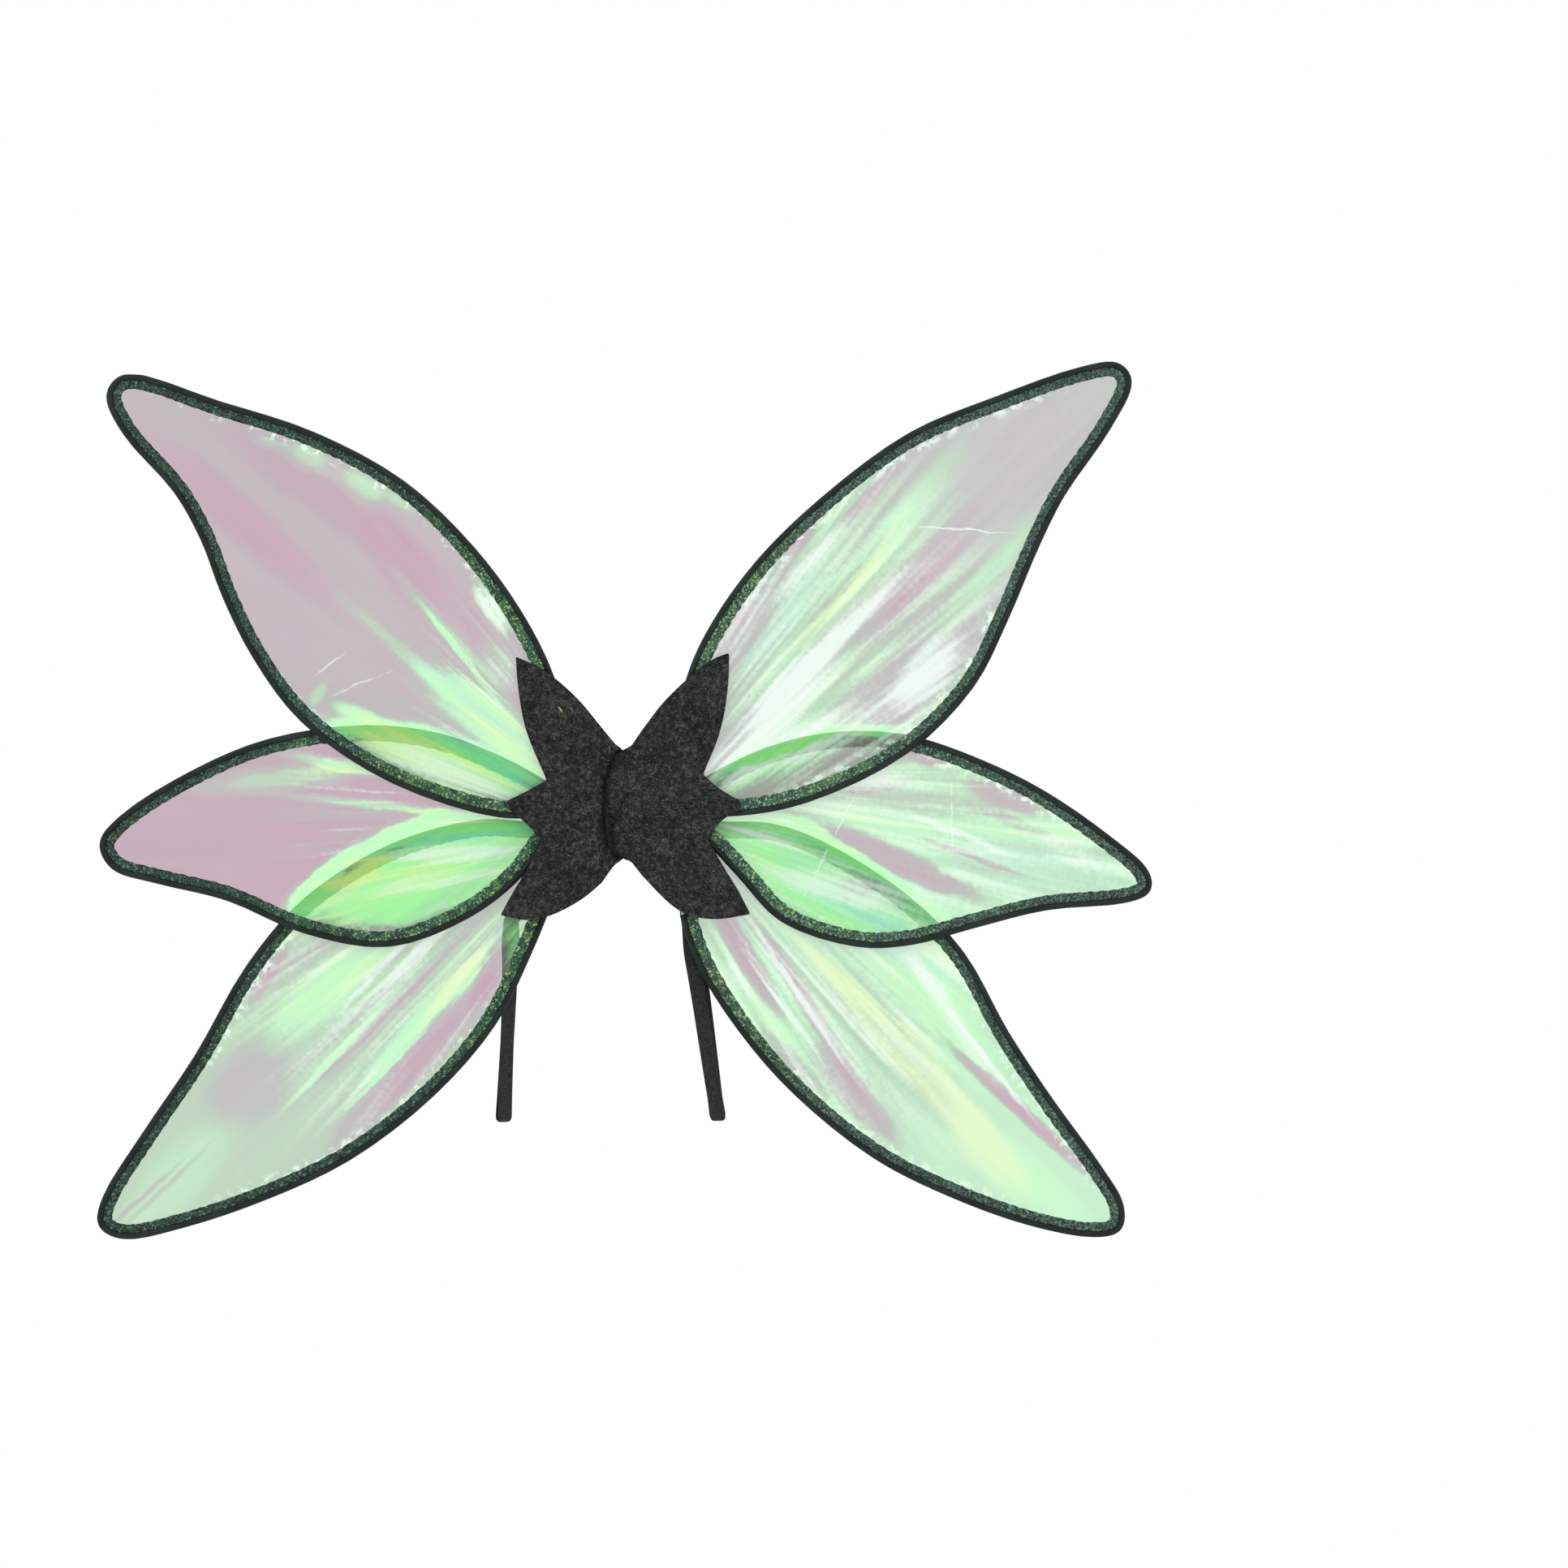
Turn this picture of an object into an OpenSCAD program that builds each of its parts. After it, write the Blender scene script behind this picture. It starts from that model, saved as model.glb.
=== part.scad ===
// Fairy wings for a child to wear: six wire petals covered in shimmering film, held between
// two layers of felt at the back of the waist, with two elastic shoulder loops behind.
// X runs across the wings, Z is up and the decorated front faces -Y.
// The origin is the middle of the face that rests on the wearer's back.

/* [Petal frames] */
// Diameter of the bent steel wire in each petal
wire_d = 1.6; // [1.2:0.1:1.8]
// Outer diameter of the sewn sleeve that the wire runs in
sleeve_d = 3.4; // [3:0.1:3.6]
// Distance between the planes of two neighbouring petals
layer_pitch = 3.8; // [3.7:0.1:4.2]

/* [Petal film] */
// Thickness of the shimmering film
film_t = 0.3; // [0.2:0.05:0.5]
// Thickness of the gathered hem behind the film
hem_t = 0.8; // [0.4:0.1:1.2]
// Width of the gathered hem inside the sleeve
hem_w = 5.4; // [4:0.2:7]

/* [Felt] */
// Thickness of the front felt
front_felt_t = 2; // [1:0.25:2.5]
// Thickness of the back felt
back_felt_t = 2; // [1:0.25:2.5]
// Half the width of the waist pieces between the two fold lines
waist_half = 9.6; // [8:0.2:9.6]

/* [Elastic straps] */
// Width of the flat elastic
strap_w = 8; // [6:0.5:10]
// Thickness of the flat elastic
strap_t = 0.8; // [0.6:0.1:0.8]
// Height of the hanging loop
loop_h = 102.4; // [80:0.8:104]
// Inside opening between the two legs of a loop
loop_gap = 4.6; // [4.4:0.1:4.6]

/* [Hidden] */

// Depth of each layer, from the wearer's back at zero forwards
LOWER_Y = -back_felt_t - 0.3 - sleeve_d / 2;
MIDDLE_Y = LOWER_Y - layer_pitch;
UPPER_Y = MIDDLE_Y - layer_pitch;
FRONT_FELT_Y = UPPER_Y - sleeve_d / 2 - 0.3;
FRONT_Y = FRONT_FELT_Y - front_felt_t;

// The sleeve stops short of the bare wire ends, and film and hem stop short of the sleeve's ends
SLEEVE_FROM_X = 28;
FILM_FROM_X = 30;
HEM_HOLE_FROM_X = 38;
SLEEVE_BORE = wire_d + 0.2;
FILM_INSET = sleeve_d / 2 + 0.05;
HEM_INSET = FILM_INSET + hem_w;
SIDES = 8;
STEPS = 4;

// Where the felt halves stop beside the waist: the back needs more room to fold
FRONT_FELT_FROM_X = 10.6;
BACK_FELT_FROM_X = 13.5;

// The elastic hangs from a fold line just below the felt
LOOP_TOP_Z = -63;
LOOP_Y = 1.4;
LOOP_DROP = 0.6;

FELT_BLACK = [0.16, 0.16, 0.17];
SLEEVE_BLACK = [0.10, 0.13, 0.14];
HEM_GREEN = [0.08, 0.26, 0.22];
STEEL = [0.68, 0.69, 0.70];
TAPE_WHITE = [0.86, 0.85, 0.80];
GLUE_CLEAR = [0.90, 0.88, 0.80];
ELASTIC_BLACK = [0.09, 0.09, 0.10];
THREAD_GREY = [0.22, 0.22, 0.24];
FILM_PINK = [0.80, 0.72, 0.78];
FILM_MINT = [0.72, 0.92, 0.82];
FILM_GREEN = [0.76, 0.95, 0.78];

// Each wire is one hairpin: out of the waist, round its petal and back, as [across, up]
UPPER_LEFT = [
    [-14, 4.2], [-21, 4.3], [-26, 12], [-30, 38], [-37, 66], [-53, 98], [-78, 132], [-114, 166],
    [-160, 191], [-209, 207], [-258, 221], [-266, 212], [-258, 193], [-231, 162], [-217, 137],
    [-206, 108], [-190, 76], [-165, 43], [-119, 12], [-62, -6], [-38, -4], [-22, 1.7], [-14, 1.8]
];
MIDDLE_LEFT = [
    [-14, -1.8], [-23, -1.8], [-43, 12], [-66, 24], [-96, 35], [-134, 39], [-183, 32], [-222, 16],
    [-260, -8], [-270, -21], [-264, -33], [-242, -40], [-205, -49], [-165, -66], [-121, -73],
    [-80, -58], [-55, -39], [-42, -22], [-31, -10], [-23, -4.2], [-14, -4.2]
];
LOWER_LEFT = [
    [-14, -7.8], [-23, -7.8], [-44, -11], [-72, -10], [-98, -15], [-127, -26], [-165, -51],
    [-194, -85], [-221, -132], [-248, -172], [-269, -206], [-271, -219], [-260, -225], [-228, -219],
    [-184, -204], [-142, -184], [-99, -151], [-67, -114], [-48, -76], [-36, -46], [-28, -22],
    [-21, -10.5], [-14, -10.2]
];
UPPER_RIGHT = [
    [14, 4.2], [21, 4.3], [26, 12], [29, 38], [36, 68], [48, 93], [71, 125], [105, 158], [150, 191],
    [193, 209], [239, 225], [257, 227], [263, 219], [252, 195], [228, 160], [215, 134], [198, 94],
    [181, 61], [147, 27], [96, 2], [60, -5], [38, -4], [22, 1.7], [14, 1.8]
];
MIDDLE_RIGHT = [
    [14, -1.8], [23, -1.8], [47, 14], [74, 27], [100, 34], [126, 36], [152, 33], [184, 22],
    [217, 6], [252, -18], [272, -36], [273, -45], [262, -50], [220, -54], [180, -64], [150, -72],
    [122, -73], [83, -60], [62, -38], [46, -21], [32, -10], [23, -4.2], [14, -4.2]
];
LOWER_RIGHT = [
    [14, -7.8], [23, -7.8], [50, -11], [77, -12], [103, -21], [146, -48], [176, -78], [199, -119],
    [222, -154], [248, -190], [259, -209], [258, -221], [246, -224], [212, -218], [168, -202],
    [131, -183], [90, -150], [62, -118], [40, -83], [30, -52], [26, -24], [20, -10.5], [14, -10.2]
];

// Edges of the felt between its points and notches, from the waist's top round to its bottom
FELT_LEFT = [
    [[-9, 37], [-24, 55], [-42, 70], [-55, 76]],
    [[-55, 76], [-54, 62], [-50, 39], [-39, 12]],
    [[-39, 12], [-48, 7], [-60, 1]],
    [[-60, -2], [-49, -11], [-41.5, -19.5]],
    [[-41.5, -19.5], [-49, -34], [-57, -47], [-63, -58]],
    [[-63, -58], [-50, -60.5], [-38, -58.5], [-22, -50.5], [-9, -40]]
];
FELT_RIGHT = [
    [[9, 36], [23, 54], [46, 74], [55.5, 78]],
    [[55.5, 78], [55, 62], [51, 38], [42, 15]],
    [[42, 15], [50, 8], [61.5, 1]],
    [[61, -4], [53, -8], [44, -18]],
    [[44, -18], [52, -32], [60, -45], [66.5, -57.5]],
    [[66.5, -57.5], [50, -60], [36, -58.5], [26, -53], [9, -36]]
];
WAIST = [
    [-waist_half, 37.5], [-4, 31], [0.5, 27.5], [5, 30], [waist_half, 36.5],
    [waist_half, -36.5], [5, -30.5], [1, -28.5], [-4, -32], [-waist_half, -40.5]
];

// Where each strap runs, as [across, up] at its sewn top, at its fold line and at its loop's foot
STRAP_LEFT = [[-48, -38], [-58, -61.5], [-62, -166]];
STRAP_RIGHT = [[31, -36.5], [34.5, -61.5], [50, -166]];
TAB_H = 14;
TACK_H = 2;
TACK_T = 0.4;

// Smooth curve through points: the speed at a point eases with the distance to its neighbours
function gap(a, b) = sqrt(norm(b - a));
function speed(a, b, c) =
    (b - a) / gap(a, b) - (c - a) / (gap(a, b) + gap(b, c)) + (c - b) / gap(b, c);
function between(p, q, vp, vq, u) =
    (2 * u ^ 3 - 3 * u ^ 2 + 1) * p + (u ^ 3 - 2 * u ^ 2 + u) * vp * gap(p, q)
    + (3 * u ^ 2 - 2 * u ^ 3) * q + (u ^ 3 - u ^ 2) * vq * gap(p, q);
function speeds(p) = [
    for (i = [0 : len(p) - 1])
        i == 0 ? (p[1] - p[0]) / gap(p[0], p[1])
        : i == len(p) - 1 ? (p[i] - p[i - 1]) / gap(p[i - 1], p[i])
        : speed(p[i - 1], p[i], p[i + 1])
];
function curve(p, v) = [
    for (i = [0 : len(p) - 2]) for (k = [0 : STEPS - 1]) between(p[i], p[i + 1], v[i], v[i + 1], k / STEPS),
    p[len(p) - 1]
];
function smooth(p) = curve(p, speeds(p));
function felt_outline(edges) = [for (edge = edges) each smooth(edge)];

// Part of a petal's curve that lies outside a distance from the middle
function outside(p, x) = [for (q = p) if (abs(q[0]) > x) q];
function heading(p, i) =
    let (d = p[min(i + 1, len(p) - 1)] - p[max(i - 1, 0)]) d / norm(d);
function side_of(p) = p[0][0] < 0 ? 1 : -1;
function inward(p, i) = let (h = heading(p, i)) side_of(p) * [-h[1], h[0]];
function nearest(q, p) = min([for (r = p) norm(q - r)]);
// Points that would cross over each other inside a tight tip are left out
function inset(p, d) = [
    for (i = [0 : len(p) - 1]) let (q = p[i] + d * inward(p, i)) if (nearest(q, p) > d - 0.01) q
];
function rings(p, r) = [
    for (i = [0 : len(p) - 1]) for (k = [0 : SIDES - 1])
        let (n = inward(p, i), a = 360 * (k + 0.5) / SIDES)
            [p[i][0] + r * cos(a) * n[0], r * sin(a), p[i][1] + r * cos(a) * n[1]]
];
function skin(first, count) = [
    for (i = [0 : count - 2]) for (k = [0 : SIDES - 1])
        let (a = first + i * SIDES + k, b = first + i * SIDES + (k + 1) % SIDES)
            [a, b, b + SIDES, a + SIDES]
];
function turned(faces) = [for (f = faces) [for (i = [len(f) - 1 : -1 : 0]) f[i]]];
function facing(faces, out) = out ? faces : turned(faces);

// A round bar bent along a petal's curve
module bar(p, r) {
    n = len(p);
    caps = [[for (k = [SIDES - 1 : -1 : 0]) k], [for (k = [0 : SIDES - 1]) (n - 1) * SIDES + k]];
    polyhedron(rings(p, r), facing(concat(skin(0, n), caps), side_of(p) > 0));
}

// A hollow sleeve along the same curve
module sleeve(p, r, bore) {
    n = len(p);
    inner = n * SIDES;
    start_lip = [for (k = [0 : SIDES - 1]) let (j = (k + 1) % SIDES) [k, inner + k, inner + j, j]];
    end_lip = [
        for (k = [0 : SIDES - 1]) let (j = (k + 1) % SIDES, e = (n - 1) * SIDES)
            [e + k, e + j, inner + e + j, inner + e + k]
    ];
    faces = concat(skin(0, n), turned(skin(inner, n)), start_lip, end_lip);
    polyhedron(concat(rings(p, r), rings(p, bore)), facing(faces, side_of(p) > 0));
}

// A flat sheet standing in the wings' plane between two depths
module sheet(outline, front, back) {
    translate([0, back, 0])
        rotate([90, 0, 0])
            linear_extrude(back - front)
                polygon(outline);
}

module petal_wire(route, y) {
    color(STEEL)
        translate([0, y, 0])
            bar(smooth(route), wire_d / 2);
}

module petal_sleeve(route, y) {
    color(SLEEVE_BLACK)
        translate([0, y, 0])
            sleeve(outside(smooth(route), SLEEVE_FROM_X), sleeve_d / 2, SLEEVE_BORE / 2);
}

module petal_film(route, y, tint) {
    color(tint)
        sheet(inset(outside(smooth(route), FILM_FROM_X), FILM_INSET), y - hem_t / 2 - film_t, y - hem_t / 2);
}

module petal_hem(route, y) {
    color(HEM_GREEN)
        difference() {
            sheet(inset(outside(smooth(route), FILM_FROM_X), FILM_INSET), y - hem_t / 2, y + hem_t / 2);
            sheet(inset(outside(smooth(route), HEM_HOLE_FROM_X), HEM_INSET), y - hem_t, y + hem_t);
        }
}

module wire_upper_left() { petal_wire(UPPER_LEFT, UPPER_Y); }
module wire_middle_left() { petal_wire(MIDDLE_LEFT, MIDDLE_Y); }
module wire_lower_left() { petal_wire(LOWER_LEFT, LOWER_Y); }
module wire_upper_right() { petal_wire(UPPER_RIGHT, UPPER_Y); }
module wire_middle_right() { petal_wire(MIDDLE_RIGHT, MIDDLE_Y); }
module wire_lower_right() { petal_wire(LOWER_RIGHT, LOWER_Y); }

module sleeve_upper_left() { petal_sleeve(UPPER_LEFT, UPPER_Y); }
module sleeve_middle_left() { petal_sleeve(MIDDLE_LEFT, MIDDLE_Y); }
module sleeve_lower_left() { petal_sleeve(LOWER_LEFT, LOWER_Y); }
module sleeve_upper_right() { petal_sleeve(UPPER_RIGHT, UPPER_Y); }
module sleeve_middle_right() { petal_sleeve(MIDDLE_RIGHT, MIDDLE_Y); }
module sleeve_lower_right() { petal_sleeve(LOWER_RIGHT, LOWER_Y); }

module film_upper_left() { petal_film(UPPER_LEFT, UPPER_Y, FILM_PINK); }
module film_middle_left() { petal_film(MIDDLE_LEFT, MIDDLE_Y, FILM_PINK); }
module film_lower_left() { petal_film(LOWER_LEFT, LOWER_Y, FILM_MINT); }
module film_upper_right() { petal_film(UPPER_RIGHT, UPPER_Y, FILM_PINK); }
module film_middle_right() { petal_film(MIDDLE_RIGHT, MIDDLE_Y, FILM_MINT); }
module film_lower_right() { petal_film(LOWER_RIGHT, LOWER_Y, FILM_GREEN); }

module hem_upper_left() { petal_hem(UPPER_LEFT, UPPER_Y); }
module hem_middle_left() { petal_hem(MIDDLE_LEFT, MIDDLE_Y); }
module hem_lower_left() { petal_hem(LOWER_LEFT, LOWER_Y); }
module hem_upper_right() { petal_hem(UPPER_RIGHT, UPPER_Y); }
module hem_middle_right() { petal_hem(MIDDLE_RIGHT, MIDDLE_Y); }
module hem_lower_right() { petal_hem(LOWER_RIGHT, LOWER_Y); }

// Cloth tape wound round the three pairs of wire ends, as a flat tube along X
TAPE_FROM_X = 15;
TAPE_TO_X = 20;
TAPE_T = 0.6;
TAPE_TOP_Z = 6;
TAPE_BOTTOM_Z = -12;
TAPE_GAP = 0.3;
module root_tape(side) {
    front = FRONT_FELT_Y + TAPE_GAP;
    back = -back_felt_t - TAPE_GAP;
    x = side < 0 ? -TAPE_TO_X : TAPE_FROM_X;
    width = TAPE_TO_X - TAPE_FROM_X;
    color(TAPE_WHITE)
        difference() {
            translate([x, front, TAPE_BOTTOM_Z])
                cube([width, back - front, TAPE_TOP_Z - TAPE_BOTTOM_Z]);
            translate([x - 1, front + TAPE_T, TAPE_BOTTOM_Z + TAPE_T])
                cube([width + 2, back - front - 2 * TAPE_T, TAPE_TOP_Z - TAPE_BOTTOM_Z - 2 * TAPE_T]);
        }
}
module root_tape_left() { root_tape(-1); }
module root_tape_right() { root_tape(1); }

// Blobs of hot-melt glue: one under the front felt and one in front of the back felt
FRONT_PAD = [38, 40];
BACK_PAD = [43, -38];
FRONT_PAD_R = 6;
BACK_PAD_R = 5;
module glue_pad(at, side, r, front, back) {
    translate([side * at[0], back, at[1]])
        rotate([90, 0, 0])
            cylinder(h = back - front, r = r, $fn = 48);
}
module glue_pads(side) {
    color(GLUE_CLEAR) {
        glue_pad(FRONT_PAD, side, FRONT_PAD_R, FRONT_FELT_Y, UPPER_Y - hem_t / 2 - film_t);
        glue_pad(BACK_PAD, side, BACK_PAD_R, LOWER_Y + hem_t / 2, -back_felt_t);
    }
}
module glue_pads_left() { glue_pads(-1); }
module glue_pads_right() { glue_pads(1); }

// Half of a felt shape, cut off beside the waist
FAR = 100;
module felt_half(edges, side, from_x, front, back) {
    color(FELT_BLACK)
        intersection() {
            sheet(felt_outline(edges), front, back);
            translate([side < 0 ? -FAR : from_x, front - 1, -FAR])
                cube([FAR - from_x, back - front + 2, 2 * FAR]);
        }
}
module front_felt_left() { felt_half(FELT_LEFT, -1, FRONT_FELT_FROM_X, FRONT_Y, FRONT_FELT_Y); }
module front_felt_right() { felt_half(FELT_RIGHT, 1, FRONT_FELT_FROM_X, FRONT_Y, FRONT_FELT_Y); }
module back_felt_left() { felt_half(FELT_LEFT, -1, BACK_FELT_FROM_X, -back_felt_t, 0); }
module back_felt_right() { felt_half(FELT_RIGHT, 1, BACK_FELT_FROM_X, -back_felt_t, 0); }

module waist_front() {
    color(FELT_BLACK)
        sheet(WAIST, FRONT_Y, FRONT_FELT_Y);
}

module waist_back() {
    color(FELT_BLACK)
        sheet(WAIST, -back_felt_t, 0);
}

// Rolled felt that fills the waist and holds the front felt to the back felt
CORE_HALF_W = 6;
CORE_HALF_H = 22;
module waist_core() {
    color(FELT_BLACK)
        translate([-CORE_HALF_W, FRONT_FELT_Y, -CORE_HALF_H])
            cube([2 * CORE_HALF_W, -back_felt_t - FRONT_FELT_Y, 2 * CORE_HALF_H]);
}

// How far a line leans across from upright, in degrees
function lean(a, b) = atan((a[0] - b[0]) / (a[1] - b[1]));

// The elastic sewn flat on the back felt, from its top end down to the fold line
module strap_run(at) {
    length = norm(at[0] - at[1]);
    color(ELASTIC_BLACK)
        translate([at[1][0], 0, at[1][1]])
            rotate([0, lean(at[0], at[1]), 0])
                translate([-strap_w / 2, 0, 0])
                    cube([strap_w, strap_t, length]);
}
module strap_run_left() { strap_run(STRAP_LEFT); }
module strap_run_right() { strap_run(STRAP_RIGHT); }

// The other end of the same elastic, sewn over the run just above the fold line
module strap_tab(at) {
    color(ELASTIC_BLACK)
        translate([at[1][0], strap_t, at[1][1]])
            rotate([0, lean(at[0], at[1]), 0])
                translate([-strap_w / 2, 0, 0])
                    cube([strap_w, strap_t, TAB_H]);
}
module strap_tab_left() { strap_tab(STRAP_LEFT); }
module strap_tab_right() { strap_tab(STRAP_RIGHT); }

// Close bars of thread across the elastic's two sewn ends
module strap_tacks(at) {
    length = norm(at[0] - at[1]);
    color(THREAD_GREY)
        translate([at[1][0], 0, at[1][1]])
            rotate([0, lean(at[0], at[1]), 0]) {
                translate([-strap_w / 2, strap_t, length - 2 * TACK_H])
                    cube([strap_w, TACK_T, TACK_H]);
                translate([-strap_w / 2, 2 * strap_t, TAB_H - 2 * TACK_H])
                    cube([strap_w, TACK_T, TACK_H]);
            }
}
module strap_tacks_left() { strap_tacks(STRAP_LEFT); }
module strap_tacks_right() { strap_tacks(STRAP_RIGHT); }

// The free loop: two legs that meet in a fold at each end, seen edge on as a long oval
function oval(half_y, half_z) = [for (a = [0 : 7.5 : 352.5]) [half_y * cos(a), half_z * sin(a)]];
module strap_loop(at) {
    color(ELASTIC_BLACK)
        translate([at[1][0], LOOP_Y, LOOP_TOP_Z])
            rotate([0, lean(at[1], at[2]), 0])
                translate([-strap_w / 2, 0, -LOOP_DROP - loop_h / 2])
                    rotate([90, 0, 90])
                        linear_extrude(strap_w)
                            difference() {
                                polygon(oval(loop_gap / 2 + strap_t, loop_h / 2));
                                polygon(oval(loop_gap / 2, loop_h / 2 - strap_t));
                            }
}
module strap_loop_left() { strap_loop(STRAP_LEFT); }
module strap_loop_right() { strap_loop(STRAP_RIGHT); }

wire_upper_left();
wire_middle_left();
wire_lower_left();
wire_upper_right();
wire_middle_right();
wire_lower_right();
sleeve_upper_left();
sleeve_middle_left();
sleeve_lower_left();
sleeve_upper_right();
sleeve_middle_right();
sleeve_lower_right();
film_upper_left();
film_middle_left();
film_lower_left();
film_upper_right();
film_middle_right();
film_lower_right();
hem_upper_left();
hem_middle_left();
hem_lower_left();
hem_upper_right();
hem_middle_right();
hem_lower_right();
root_tape_left();
root_tape_right();
glue_pads_left();
glue_pads_right();
front_felt_left();
front_felt_right();
back_felt_left();
back_felt_right();
waist_front();
waist_core();
waist_back();
strap_run_left();
strap_run_right();
strap_tab_left();
strap_tab_right();
strap_tacks_left();
strap_tacks_right();
strap_loop_left();
strap_loop_right();
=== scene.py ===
# Fairy wings for a child: six wire petals in shimmering film, a black felt middle and two
# elastic shoulder loops. Built in the order in which the real wings are put together.
import math

import bpy
import numpy as np
from mathutils.geometry import delaunay_2d_cdt
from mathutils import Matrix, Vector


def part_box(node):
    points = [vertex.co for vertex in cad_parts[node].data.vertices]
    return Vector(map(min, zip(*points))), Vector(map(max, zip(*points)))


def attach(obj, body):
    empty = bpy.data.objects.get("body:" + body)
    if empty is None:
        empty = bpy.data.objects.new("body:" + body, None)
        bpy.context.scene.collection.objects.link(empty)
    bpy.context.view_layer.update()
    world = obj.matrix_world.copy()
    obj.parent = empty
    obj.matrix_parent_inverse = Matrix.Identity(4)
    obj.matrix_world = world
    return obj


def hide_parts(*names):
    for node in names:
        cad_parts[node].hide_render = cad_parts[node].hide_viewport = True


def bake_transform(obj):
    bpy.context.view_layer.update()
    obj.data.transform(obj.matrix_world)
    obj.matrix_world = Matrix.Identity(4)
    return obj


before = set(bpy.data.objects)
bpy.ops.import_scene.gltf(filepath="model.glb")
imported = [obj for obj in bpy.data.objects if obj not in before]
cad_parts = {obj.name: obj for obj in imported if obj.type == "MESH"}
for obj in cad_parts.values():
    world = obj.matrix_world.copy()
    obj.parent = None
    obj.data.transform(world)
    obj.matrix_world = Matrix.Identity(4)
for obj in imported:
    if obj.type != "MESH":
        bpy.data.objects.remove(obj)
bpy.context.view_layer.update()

# --- Studio ---
# The wings hang upright in plain white light, with nothing behind them. The camera faces
# the decorated side squarely from far off, with room beside the right-hand petals.
VIEW_WIDTH = 0.816
VIEW_MIDDLE = (0.084, 0.010)
LENS_MM = 150
SENSOR_MM = 36
camera_data = bpy.data.cameras.new("studio_camera")
camera_data.lens = LENS_MM
camera_data.sensor_width = SENSOR_MM
camera = bpy.data.objects.new("studio_camera", camera_data)
camera.location = (VIEW_MIDDLE[0], -VIEW_WIDTH * LENS_MM / SENSOR_MM, VIEW_MIDDLE[1])
camera.rotation_euler = (math.radians(90), 0, 0)
bpy.context.scene.collection.objects.link(camera)
bpy.context.scene.camera = camera
bpy.context.scene.view_settings.view_transform = "Standard"

world = bpy.data.worlds.new("soft_studio")
world.use_nodes = True
background = world.node_tree.nodes["Background"].inputs
background["Color"].default_value = (1, 1, 1, 1)
background["Strength"].default_value = 1.0
bpy.context.scene.world = world


def soft_light(name, place, size, watts):
    """A square lamp that points at the middle of the wings."""
    data = bpy.data.lights.new(name, "AREA")
    data.size = size
    data.energy = watts
    lamp = bpy.data.objects.new(name, data)
    lamp.location = place
    x, y, z = place
    lamp.rotation_euler = (math.atan2(math.hypot(x, y), z), 0, math.atan2(x, -y))
    bpy.context.scene.collection.objects.link(lamp)


soft_light("key_light", (-0.9, -1.3, 1.1), 0.5, 5)
soft_light("fill_light", (1.2, -1.1, 0.3), 0.8, 1.5)
soft_light("back_light", (0.4, 1.4, 0.9), 0.8, 2)


# --- Bent wires ---
# Six hairpins of bright drawn steel wire, bent round a jig. Each runs inside a petal's
# sleeve and brings its two bare ends back to the waist. Their shape is the CAD's own.
SIDES = ("left", "right")
TIERS = ("upper", "middle", "lower")


class Signal:
    """A number, place or colour in a node tree. Numbers take plain arithmetic."""

    def __init__(self, socket):
        self.socket = socket
        self.tree = socket.id_data

    def maths(self, kind, *others):
        node = self.tree.nodes.new("ShaderNodeMath")
        node.operation = kind
        for socket, value in zip(node.inputs, (self, *others)):
            feed(socket, value)
        return Signal(node.outputs[0])

    def __add__(self, other):
        return self.maths("ADD", other)

    def __sub__(self, other):
        return self.maths("SUBTRACT", other)

    def __mul__(self, other):
        return self.maths("MULTIPLY", other)

    def __truediv__(self, other):
        return self.maths("DIVIDE", other)


def feed(socket, value):
    """Links a signal to a socket, or sets the socket's own number or colour."""
    if isinstance(value, Signal):
        value.tree.links.new(value.socket, socket)
    else:
        socket.default_value = (*value, 1) if isinstance(value, tuple) else value


def new_material(name):
    """A material, its Principled shader's inputs, and the place on the piece in metres."""
    material = bpy.data.materials.new(name)
    material.use_nodes = True
    tree = material.node_tree
    place = Signal(tree.nodes.new("ShaderNodeTexCoord").outputs["Object"])
    return material, tree.nodes["Principled BSDF"].inputs, place


def give(shader, **values):
    for name, value in values.items():
        feed(shader[name.replace("_", " ")], value)


def noise(place, scale, detail=2.0, roughness=0.5):
    """Cloudy noise about 0.5, in cells of about 1 / scale."""
    node = place.tree.nodes.new("ShaderNodeTexNoise")
    settings = {"Vector": place, "Scale": scale, "Detail": detail, "Roughness": roughness}
    for name, value in settings.items():
        feed(node.inputs[name], value)
    return Signal(node.outputs["Fac"])


def fade(value, low, high, out_low=0.0, out_high=1.0):
    """A soft step of value, from out_low at low to out_high at high."""
    node = value.tree.nodes.new("ShaderNodeMapRange")
    node.interpolation_type = "SMOOTHSTEP"
    for socket, number in zip(node.inputs, (value, low, high, out_low, out_high)):
        feed(socket, number)
    return Signal(node.outputs["Result"])


def tones(value, *stops):
    """A colour ramp over value, with stops of (position, colour)."""
    node = value.tree.nodes.new("ShaderNodeValToRGB")
    ramp = node.color_ramp
    while len(ramp.elements) < len(stops):
        ramp.elements.new(0.5)
    for element, (position, colour) in zip(ramp.elements, stops):
        element.position = position
        element.color = (*colour, 1)
    feed(node.inputs["Fac"], value)
    return Signal(node.outputs["Color"])


def relief(height, distance):
    """The tilt of the surface under a fine pattern, distance metres high."""
    node = height.tree.nodes.new("ShaderNodeBump")
    feed(node.inputs["Distance"], distance)
    feed(node.inputs["Strength"], 1.0)
    feed(node.inputs["Height"], height)
    return Signal(node.outputs["Normal"])


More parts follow.
